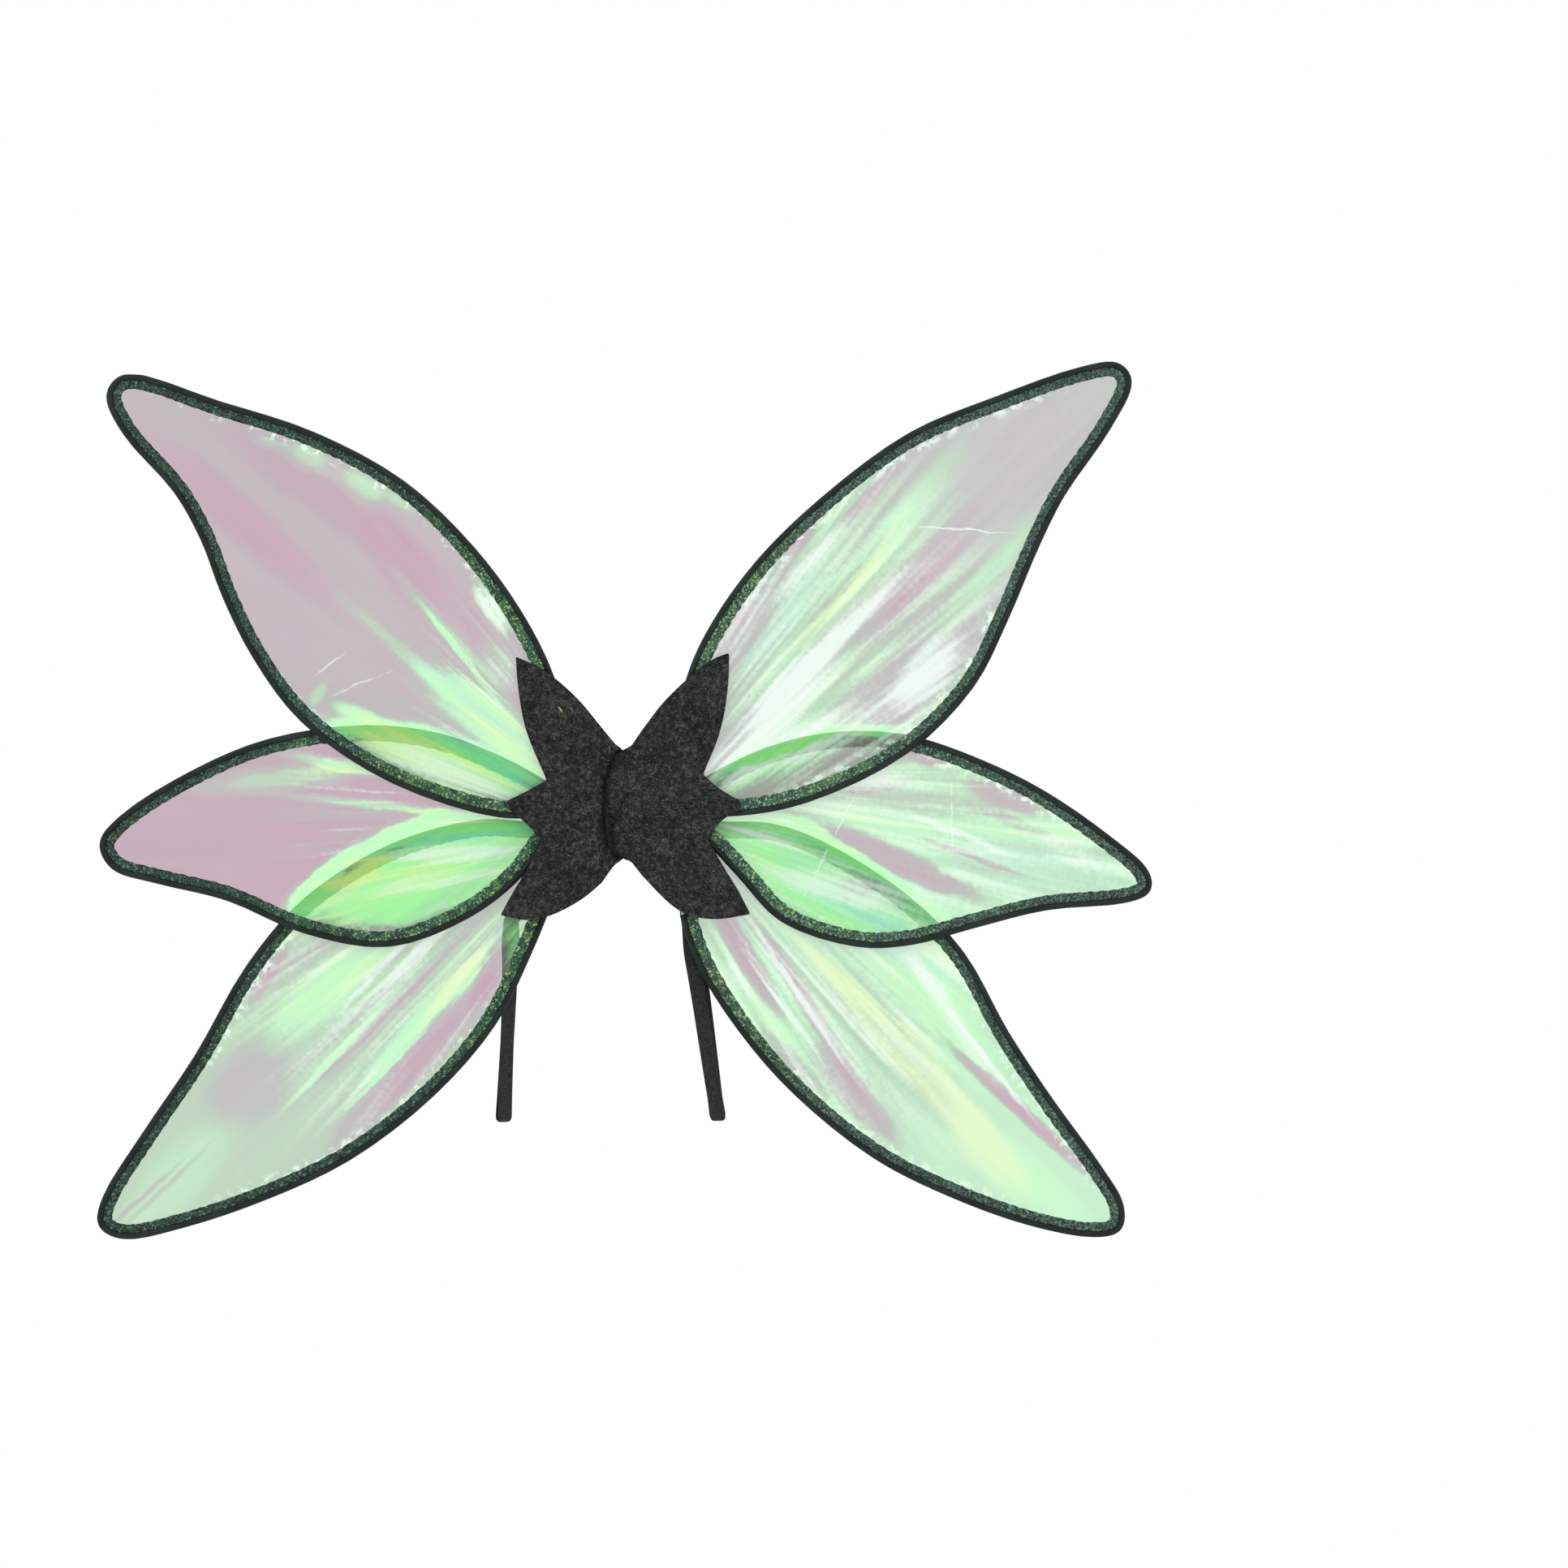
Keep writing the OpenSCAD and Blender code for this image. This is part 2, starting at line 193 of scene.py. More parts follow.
steel, shader, place = new_material("drawn_steel")
draw_marks = noise(place, 900, 3, 0.6)
give(
    shader,
    Base_Color=tones(draw_marks, (0.35, (0.42, 0.42, 0.43)), (0.65, (0.66, 0.66, 0.67))),
    Roughness=fade(draw_marks, 0.3, 0.7, 0.22, 0.42),
    Normal=relief(draw_marks, 0.00004),
    Metallic=1.0,
)


def dress(node, material):
    """Gives a CAD node that stays in view its finish."""
    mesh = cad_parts[node].data
    mesh.materials.clear()
    mesh.materials.append(material)


for side in SIDES:
    for tier in TIERS:
        dress(f"wire_{tier}_{side}", steel)


# --- Cloth tape ---
# White cotton tape, wound flat round the three pairs of bare wire ends on each side, so
# that the petals can't turn in the felt. Its shape is the CAD's own.
SOCKET_KINDS = {"Place": "NodeSocketVector", "Color": "NodeSocketColor"}


def new_group(name, inputs, outputs):
    """A node group with these inputs and outputs, which are numbers but for Place and Color."""
    group = bpy.data.node_groups.new(name, "ShaderNodeTree")
    for labels, way in ((inputs, "INPUT"), (outputs, "OUTPUT")):
        for label in labels:
            kind = SOCKET_KINDS.get(label, "NodeSocketFloat")
            group.interface.new_socket(label, in_out=way, socket_type=kind)
    given = {socket.name: Signal(socket) for socket in group.nodes.new("NodeGroupInput").outputs}
    return group, given, group.nodes.new("NodeGroupOutput").inputs


def tree_of(values):
    return next(value.tree for value in values if isinstance(value, Signal))


def use_group(group, **values):
    """Sets a group down beside the signals it is given. Its results come back by name."""
    node = tree_of(values.values()).nodes.new("ShaderNodeGroup")
    node.node_tree = group
    give(node.inputs, **values)
    return {socket.name: Signal(socket) for socket in node.outputs}


def stripes(value, per_unit):
    """A wave from 0 to 1 over value."""
    return (value * (per_unit * 2 * math.pi)).maths("SINE") * 0.5 + 0.5


def split(place):
    node = place.tree.nodes.new("ShaderNodeSeparateXYZ")
    feed(node.inputs[0], place)
    return [Signal(socket) for socket in node.outputs]


PLAIN_WEAVE, given, result = new_group("plain_weave", ["Along", "Across", "Threads"], ["Height"])
warp = given["Along"] * given["Threads"]
weft = given["Across"] * given["Threads"]
checks = stripes(warp, 0.5) * stripes(weft, 0.5)
feed(result["Height"], stripes(warp, 1).maths("MAXIMUM", stripes(weft, 1)) + checks)

cotton, shader, place = new_material("cotton_tape")
x, y, z = split(place)
wear = noise(place, 260, 3, 0.6)
weave = use_group(PLAIN_WEAVE, Along=x + y, Across=z, Threads=1600)["Height"]
give(
    shader,
    Base_Color=tones(wear, (0.3, (0.62, 0.60, 0.55)), (0.7, (0.82, 0.80, 0.75))),
    Normal=relief(weave, 0.00008),
    Roughness=0.9,
)
for side in SIDES:
    dress(f"root_tape_{side}", cotton)


# --- Hot-melt glue ---
# Two cloudy blobs on each side, pressed flat while soft: one under the front felt, and one
# between the lowest petal and the back felt.
BLOB_SIDES = 40
BLOB_RINGS = 9
UPPER_BLOB = {"out": 38, "below_top": 6, "radius": 5.6}
LOWER_BLOB = {"out": 43, "above_foot": 5, "radius": 4.8}
rng = np.random.default_rng(11)


def add_piece(name, points, faces, material, slot_name):
    """A smooth mesh piece from points in millimetres."""
    mesh = bpy.data.meshes.new(name)
    mesh.from_pydata((points / 1000).tolist(), [], faces)
    mesh.shade_smooth()
    mesh.materials.append(material)
    mesh.update()
    piece = bpy.data.objects.new(name, mesh)
    bpy.context.scene.collection.objects.link(piece)
    return piece


def box_mm(node):
    low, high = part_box(node)
    return np.array(low) * 1000, np.array(high) * 1000


def ring_faces(rings, count, capped=False):
    """Quads between rings of count points each, and a face over each end if capped."""
    faces = []
    for i in range(rings - 1):
        for k in range(count):
            corner = i * count + k
            beside = i * count + (k + 1) % count
            faces.append([corner, beside, beside + count, corner + count])
    if capped:
        faces.append(list(range(count - 1, -1, -1)))
        faces.append(list(range((rings - 1) * count, rings * count)))
    return faces


def spaced(x, depth, z):
    """Points from across, depth and up, each an array or one number."""
    return np.stack(np.broadcast_arrays(x, depth, z), -1)


glue, shader, place = new_material("cloudy_glue")
cloud = noise(place, 300, 4, 0.6)
give(
    shader,
    Base_Color=tones(cloud, (0.3, (0.70, 0.66, 0.52)), (0.7, (0.86, 0.84, 0.76))),
    Roughness=fade(cloud, 0.35, 0.65, 0.25, 0.5),
    Normal=relief(cloud, 0.0003),
    Subsurface_Weight=0.2,
    Subsurface_Scale=0.001,
)


def glue_blob(middle, radius, front, back):
    """A squashed round blob between two depths, with a wandering rim."""
    around = np.linspace(0, 2 * np.pi, BLOB_SIDES, endpoint=False)
    wander = 1 + 0.07 * np.sin(3 * around + rng.uniform(0, 6))
    wander += 0.04 * np.sin(7 * around + rng.uniform(0, 6))
    rings = []
    for k in range(BLOB_RINGS):
        tilt = math.pi * (k + 0.5) / BLOB_RINGS
        reach = radius * wander * min(1, 1.35 * math.sin(tilt))
        depth = (front + back) / 2 - (back - front) / 2 * math.cos(tilt)
        rings.append(spaced(middle[0] + reach * np.cos(around), depth, middle[1] + reach * np.sin(around)))
    return np.concatenate(rings), ring_faces(BLOB_RINGS, BLOB_SIDES, capped=True)


def joined(parts):
    """Several (points, faces) as one."""
    points, faces, first = [], [], 0
    for some_points, some_faces in parts:
        points.append(some_points)
        faces += [[first + i for i in face] for face in some_faces]
        first += len(some_points)
    return np.concatenate(points), faces


for side in SIDES:
    low, high = box_mm(f"glue_pads_{side}")
    front_felt_back = box_mm(f"front_felt_{side}")[1][1]
    back_felt_front = box_mm(f"back_felt_{side}")[0][1]
    sign = -1 if side == "left" else 1
    top = (sign * UPPER_BLOB["out"], high[2] - UPPER_BLOB["below_top"])
    foot = (sign * LOWER_BLOB["out"], low[2] + LOWER_BLOB["above_foot"])
    upper = glue_blob(top, UPPER_BLOB["radius"], front_felt_back, box_mm(f"film_upper_{side}")[0][1])
    lower = glue_blob(foot, LOWER_BLOB["radius"], box_mm(f"hem_lower_{side}")[1][1], back_felt_front)
    blobs = add_piece(f"glue_blobs_{side}", *joined([upper, lower]), glue, "hot_glue")
    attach(blobs, f"{side}_wing")
    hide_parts(f"glue_pads_{side}")


# --- Sleeves ---
# The outer fold of the black satin binding, sewn into a round channel with the wire inside.
# It follows the wire round each petal and puckers a little along its seam.
SLEEVE_R = 1.68
SLEEVE_OUT = 1.75
SLEEVE_SIDES = 14
SLEEVE_STEP = 0.9
SLEEVE_PUCKER = 2.6


def open_outline(node):
    """A flat node's edge as (x, z) in millimetres, open where it comes nearest the waist."""
    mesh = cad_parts[node].data
    points = np.array([v.co for v in mesh.vertices]) * 1000
    front = points[:, 1] < points[:, 1].min() + 0.01
    keys = [tuple(np.round(p[[0, 2]], 3)) for p in points]
    edges = {}
    for polygon in mesh.polygons:
        if all(front[list(polygon.vertices)]):
            corners = [keys[i] for i in polygon.vertices]
            edges.update(dict.fromkeys(zip(corners, corners[1:] + corners[:1])))
    after = {a: b for a, b in edges if (b, a) not in edges}
    nearest = min(after.items(), key=lambda edge: abs(edge[0][0]) + abs(edge[1][0]))
    first, last = sorted(nearest, key=lambda key: key[1])
    if after[first] == last:
        after = {b: a for a, b in after.items()}
    chain = [first]
    while chain[-1] != last:
        chain.append(after[chain[-1]])
    return np.array(chain)


def run_of(line):
    """The length along a line at each of its points."""
    return np.concatenate([[0], np.cumsum(np.linalg.norm(np.diff(line, axis=0), axis=1))])


def evenly(line, step, softening=6):
    """The line at even steps along its length, with small corners softened."""
    run = run_of(line)
    at = np.linspace(0, run[-1], max(4, round(run[-1] / step)))
    even = np.stack([np.interp(at, run, line[:, k]) for k in range(2)], 1)
    for _ in range(softening):
        even[1:-1] = (even[:-2] + 2 * even[1:-1] + even[2:]) / 4
    return even


def signed_area(line):
    """The area inside a closed line, below zero if it runs clockwise."""
    x, z = line.T
    return float(np.sum(x * np.roll(z, -1) - np.roll(x, -1) * z) / 2)


def outward(line):
    """Unit vectors that point out of the petal along its edge."""
    along = np.gradient(line, axis=0)
    along /= np.linalg.norm(along, axis=1, keepdims=True)
    return np.stack([along[:, 1], -along[:, 0]], 1) * np.sign(signed_area(line))


def wavy(length, pitch, spread=0.35):
    """Phases in turns along an edge, about one turn each pitch, unevenly."""
    steps = np.diff(length)
    knots = np.arange(0, length[-1] + pitch, pitch)
    rate = 1 + spread * np.interp(length[1:], knots, rng.standard_normal(int(length[-1] / pitch) + 2))
    return np.concatenate([[0], np.cumsum(steps / pitch * np.clip(rate, 0.4, 1.8))])


satin, shader, place = new_material("black_satin")
nap = noise(place, 1400, 3, 0.7)
bloom = noise(place, 60, 2)
give(
    shader,
    Base_Color=tones(bloom, (0.35, (0.004, 0.008, 0.007)), (0.65, (0.010, 0.019, 0.016))),
    Roughness=fade(nap, 0.3, 0.7, 0.42, 0.62),
    Normal=relief(nap, 0.00012),
    Sheen_Weight=0.03,
    Sheen_Roughness=0.4,
    Specular_IOR_Level=0.24,
)

rims = {}
layer_y = {}
for side in SIDES:
    for tier in TIERS:
        name = f"{tier}_{side}"
        rim = evenly(open_outline(f"film_{name}"), SLEEVE_STEP)
        out = outward(rim)
        rims[name] = (rim, out)
        low, high = box_mm(f"sleeve_{name}")
        layer_y[name] = (low[1] + high[1]) / 2
        middle = rim + out * SLEEVE_OUT
        ahead = middle[0] + (middle[0] - middle[3]) / 3 * np.arange(2, 0, -1)[:, None]
        beyond = middle[-1] + (middle[-1] - middle[-4]) / 3 * np.arange(1, 3)[:, None]
        middle = np.concatenate([ahead, middle, beyond])
        normal = outward(middle)
        pucker = 2 * np.pi * wavy(run_of(middle), SLEEVE_PUCKER)
        around = np.linspace(0, 2 * np.pi, SLEEVE_SIDES, endpoint=False)
        reach = SLEEVE_R * (1 - 0.035 * (1 + np.sin(pucker))[:, None] * (1 - 0.6 * np.cos(around)))
        flat = middle[:, None, :] + normal[:, None, :] * (reach * np.cos(around))[:, :, None]
        points = spaced(flat[:, :, 0], layer_y[name] + reach * np.sin(around), flat[:, :, 1])
        faces = ring_faces(len(middle), SLEEVE_SIDES)
        sleeve = add_piece(f"satin_sleeve_{name}", points.reshape(-1, 3), faces, satin, "dark_sleeve")
        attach(sleeve, f"{side}_wing")
        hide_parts(f"sleeve_{name}")


# --- Gathered hems ---
# The inner fold of the binding, which grips the film. It is gathered by its zigzag seam and
# printed with green and gold glitter, which is thickest near the waist.
HEM_W = 5.4
HEM_TAPER = 0.2
TAPER_SPAN = (70, 210)
HEM_HALF = 0.42
HEM_STEP = 0.7
HEM_WRAP = 0.6
HEM_RINGS = (0.0, 0.18, 0.4, 0.62, 0.85, 1.0)
GATHER_PITCH = 2.7
GATHER_HEIGHT = 0.27
RIPPLE_PITCH = 7.5

FAN, given, result = new_group("fan_place", ["Place", "Fan X", "Fan Z"], ["Reach", "Swing"])
x, _, z = split(given["Place"])
across = x - given["Fan X"]
up = z - given["Fan Z"]
feed(result["Reach"], (across * across + up * up).maths("SQRT"))
feed(result["Swing"], up.maths("ARCTAN2", across.maths("ABSOLUTE")))


def mixed(amount, first, second):
    """A blend from one colour to another. Each is a signal or a plain colour."""
    node = tree_of((amount, first, second)).nodes.new("ShaderNodeMix")
    node.data_type = "RGBA"
    colour_slots = [socket for socket in node.inputs if socket.type == "RGBA"]
    for socket, value in zip([node.inputs[0], *colour_slots], (amount, first, second)):
        feed(socket, value)
    return Signal(next(socket for socket in node.outputs if socket.type == "RGBA"))


glitter_binding, shader, place = new_material("glitter_binding")
far = fade(use_group(FAN, Place=place)["Reach"], 0.06, 0.25)
flakes = noise(place, 820, 2, 0.75)
clumps = noise(place, 210, 3, 0.6)
drift = noise(place, 38, 2)
ground = mixed(far, (0.006, 0.036, 0.022), (0.003, 0.009, 0.008))
greens = tones(drift, (0.3, (0.02, 0.17, 0.08)), (0.5, (0.07, 0.20, 0.06)), (0.7, (0.02, 0.16, 0.12)))
coloured = mixed(fade(clumps, 0.42, 0.66) * fade(far, 0, 1, 0.8, 0.2), ground, greens)
# Painted light: the binding's flecks turn lighter and greyer towards the right-hand wing.
right_side_light = fade(split(place)[0], -0.04, 0.1) * fade(flakes, 0.4, 0.6) * 0.42
gilt = tones(clumps, (0.38, (0.16, 0.46, 0.30)), (0.56, (0.46, 0.62, 0.20)))
sparkle = mixed(fade(far, 0.2, 0.9), gilt, (0.13, 0.32, 0.23))
bright = fade(flakes, 0.55, 0.64) * fade(far, 0, 1, 1, 0.7)
give(
    shader,
    Base_Color=mixed(bright, mixed(right_side_light, coloured, (0.13, 0.19, 0.165)), sparkle),
    Roughness=fade(flakes, 0.55, 0.7, 0.55, 0.25),
    Normal=relief(flakes + clumps, 0.0002),
    Specular_IOR_Level=0.35,
)


def step_up(value, low, high):
    """A soft step of plain numbers, from 0 at low to 1 at high."""
    share = np.clip((value - low) / (high - low), 0, 1)
    return share * share * (3 - 2 * share)


def room_inside(line, normal, width):
    """How deep a band can go at each point before it meets the far edge of a narrow tip."""
    away = line[None, :, :] - line[:, None, :]
    square = np.sum(away ** 2, axis=2)
    facing = -np.einsum("ijk,ik->ij", away, normal)
    radius = np.where(facing > 1e-6, square / (2 * np.maximum(facing, 1e-6)), 1e9)
    room = np.minimum(width, 0.92 * radius.min(axis=1))
    for _ in range(30):
        room[1:-1] = np.minimum(room[1:-1], (room[:-2] + 2 * room[1:-1] + room[2:]) / 4 + 0.02)
    return room


def wing_of(name):
    """The body that a petal called tier_side rides on."""
    return name.split("_")[1] + "_wing"


hem_lines = {}
for name, (rim, _) in rims.items():
    line = evenly(rim, HEM_STEP)
    normal = outward(line)
    taper = HEM_TAPER * step_up(np.linalg.norm(line, axis=1), *TAPER_SPAN)
    room = room_inside(line, normal, HEM_W * (1 - taper))
    run = run_of(line)
    turn = 2 * np.pi * wavy(run, GATHER_PITCH)
    ripple = 2 * np.pi * wavy(run, RIPPLE_PITCH)
    hem_lines[name] = (line, normal, room, run, turn)
    ends = np.minimum(1, np.minimum(run, run[-1] - run) / 3)
    scallop = (0.13 * np.sin(turn * 0.5 + 1) + 0.16 * np.sin(ripple)) * room / HEM_W
    columns = []
    for layer, shares in ((-1, HEM_RINGS), (1, HEM_RINGS[::-1])):
        for share in shares:
            arch = 0.35 + 0.65 * math.sin(math.pi * (0.15 + 0.8 * share))
            swell = GATHER_HEIGHT * np.sin(turn + 0.9 * share * np.sin(ripple)) * arch
            puff = HEM_HALF * (1 - 0.75 * share ** 6) * (1 - 0.35 * abs(share - 0.45) ** 0.5)
            depth = -HEM_WRAP + (room + HEM_WRAP) * share + scallop * share ** 4
            x, z = (line - normal * depth[:, None]).T
            columns.append(spaced(x, layer_y[name] + layer * puff + swell * ends, z))
    points = np.stack(columns, 1).reshape(-1, 3)
    faces = ring_faces(len(line), len(columns), capped=True)
    hem = add_piece(f"gathered_hem_{name}", points, faces, glitter_binding, "gathered_hem")
    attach(hem, wing_of(name))
    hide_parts(f"hem_{name}")


# --- Zigzag stitches ---
# One row of dark green polyester thread along the middle of each hem, on the front, pulled
# tight enough to dent the gathers.
STITCH_RUN = 1.6
STITCH_WIDE = 1.7
STITCH_SINK = 0.12
STITCH_RISE = 0.34
THREAD_R = 0.14
THREAD_SIDES = 6
THREAD_ARCH = (0.0, 0.55, 0.8, 0.55, 0.0)

TWIST, given, result = new_group("thread_twist", ["Place", "Fineness"], ["Twist"])
feed(result["Twist"], noise(given["Place"], given["Fineness"], 2))

thread, shader, place = new_material("polyester_thread")
twist = use_group(TWIST, Place=place, Fineness=2600)["Twist"]
give(
    shader,
    Base_Color=tones(twist, (0.3, (0.02, 0.05, 0.035)), (0.7, (0.07, 0.15, 0.10))),
    Normal=relief(twist, 0.00005),
    Roughness=0.45,
    Sheen_Weight=0.3,
)


def thread_bar(start, end, rise, radius=THREAD_R):
    """A short stitch between two points, which rises out of the cloth and goes back in."""
    start, end = np.array(start, float), np.array(end, float)
    along = (end - start) / np.linalg.norm(end - start)
    outwards = np.array((0, 1, 0))
    side = np.cross(along, outwards)
    side /= np.linalg.norm(side)
    around = np.linspace(0, 2 * np.pi, THREAD_SIDES, endpoint=False)[:, None]
    section = radius * (np.cos(around) * side + np.sin(around) * outwards)
    rings = []
    for share, lift in zip(np.linspace(0, 1, len(THREAD_ARCH)), THREAD_ARCH):
        middle = start + (end - start) * share + outwards * rise * lift
        rings.append(middle + section * (0.65 if share in (0, 1) else 1))
    return np.concatenate(rings), ring_faces(len(THREAD_ARCH), THREAD_SIDES)


for name, (line, normal, room, run, turn) in hem_lines.items():
    bars = []
    at = 1.0
    flip = 1
    while at + STITCH_RUN < run[-1]:
        spots = []
        for distance, way in ((at, flip), (at + STITCH_RUN, -flip)):
            i = int(np.searchsorted(run, distance))
            x, z = line[i] - normal[i] * room[i] * (0.5 + way * STITCH_WIDE / 2 / HEM_W)
            height = layer_y[name] - HEM_HALF * 0.95 + GATHER_HEIGHT * 0.9 * math.sin(turn[i])
            spots.append((x, height + STITCH_SINK, z))
        bars.append(thread_bar(*spots, -STITCH_RISE))
        at += STITCH_RUN
        flip = -flip
    seam = add_piece(f"zigzag_seam_{name}", *joined(bars), thread, "stitch_thread")
    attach(seam, wing_of(name))


# --- Shimmer films ---
# One thin sheet of iridescent film in each petal, cut to the petal's outline, pulled taut
# from the waist and caught in the hem. It puckers at the hem and creases in a fan from the
# waist. Its colour turns from mauve through mint to gold, with painted pale highlights along the creases.
FILM_EDGE = 1.2
FILM_RIM_STEP = 1.3
FILM_GRIDS = ((1.45, 0.6, 13.0), (2.9, 13.0, 1e9))
FILM_BACK = 0.35
FREE_BEYOND = 9
PUCKER_PITCH = 7.0
HIGHLIGHT_FADE = 0.05

WARPED, given, result = new_group("creased_place", ["Place", "Amount", "Seed"], ["X", "Z"])


def combined(*terms):
    """A place from three signals or numbers."""
    node = tree_of(terms).nodes.new("ShaderNodeCombineXYZ")
    for socket, value in zip(node.inputs, terms):
        feed(socket, value)
    return Signal(node.outputs[0])


x, _, z = split(given["Place"])
for axis, label, shift in ((x, "X", 0.3), (z, "Z", 5.7)):
    wander = noise(combined(x, given["Seed"] + shift, z), 70, 3, 0.6)
    feed(result[label], axis + (wander - 0.5) * given["Amount"] * 4)

PATCH, given, result = new_group(
    "oval_patch", ["X", "Z", "Middle X", "Middle Z", "Long", "Wide", "Turn"], ["Mask"]
)
across = given["X"] - given["Middle X"]
up = given["Z"] - given["Middle Z"]
cosine = given["Turn"].maths("COSINE")
sine = given["Turn"].maths("SINE")
run = (across * cosine + up * sine) / given["Long"]
off = (up * cosine - across * sine) / given["Wide"]
feed(result["Mask"], fade((run * run + off * off).maths("SQRT"), 1.3, 0.35))

SHIMMER, given, result = new_group(
    "shimmer",
    ["Place", "Fan X", "Fan Z", "Seed", "Calm From", "Calm To", "Green", "Warm", "Pale"],
    ["Color", "Height", "Streak"],
)
TINTS = (
    (0.00, (0.250, 0.006, 0.118)),
    (0.25, (0.222, 0.135, 0.172)),
    (0.45, (0.180, 0.192, 0.166)),
    (0.62, (0.172, 0.440, 0.180)),
    (0.80, (0.258, 0.777, 0.316)),
    (1.00, (0.250, 0.900, 0.235)),
)
fan = use_group(FAN, Place=given["Place"], Fan_X=given["Fan X"], Fan_Z=given["Fan Z"])
streaks = []
for around, along in ((6, 5), (17, 8), (48, 11), (70, 380)):
    spot = combined(fan["Swing"] * around, fan["Reach"] * along, given["Seed"] + around)
    streaks.append(noise(spot, 1, 2) - 0.5)
broad, narrow, hair, thread_fine = streaks
lively = fade(fan["Reach"], given["Calm From"], given["Calm To"], 1, 0.14)
swirl = broad * 1.5 + narrow * 1.6 + hair * 1.1 + thread_fine * 0.3
crinkle = noise(given["Place"], 420, 3, 0.6)
tone = given["Green"] + swirl * lively + (crinkle - 0.5) * lively * 0.4
warm = given["Warm"] + narrow * lively * 2.8 + hair * lively * 2.4
# Painted highlights: pale streaks along the fine creases.
pale_highlight = given["Pale"] + hair * lively * 2.2 + thread_fine * lively * 0.6
greenish = fade(tone, 0.0, 0.7)
golden = fade(warm, 0.1, 1.2) * greenish * 0.9
cool = fade(broad - narrow, 0.05, 0.35) * greenish * lively * 0.55
film = tones((tone + 1.0) * 0.4545, *TINTS)
film = mixed(golden, film, (0.60, 0.86, 0.21))
film = mixed(cool, film, (0.17, 0.74, 0.57))
film = mixed(fade(pale_highlight, 0.1, 1.2, 0, 0.9), film, (0.74, 0.90, 0.79))
feed(result["Color"], film)
feed(result["Streak"], swirl)
feed(result["Height"], swirl * lively + crinkle * 0.12)
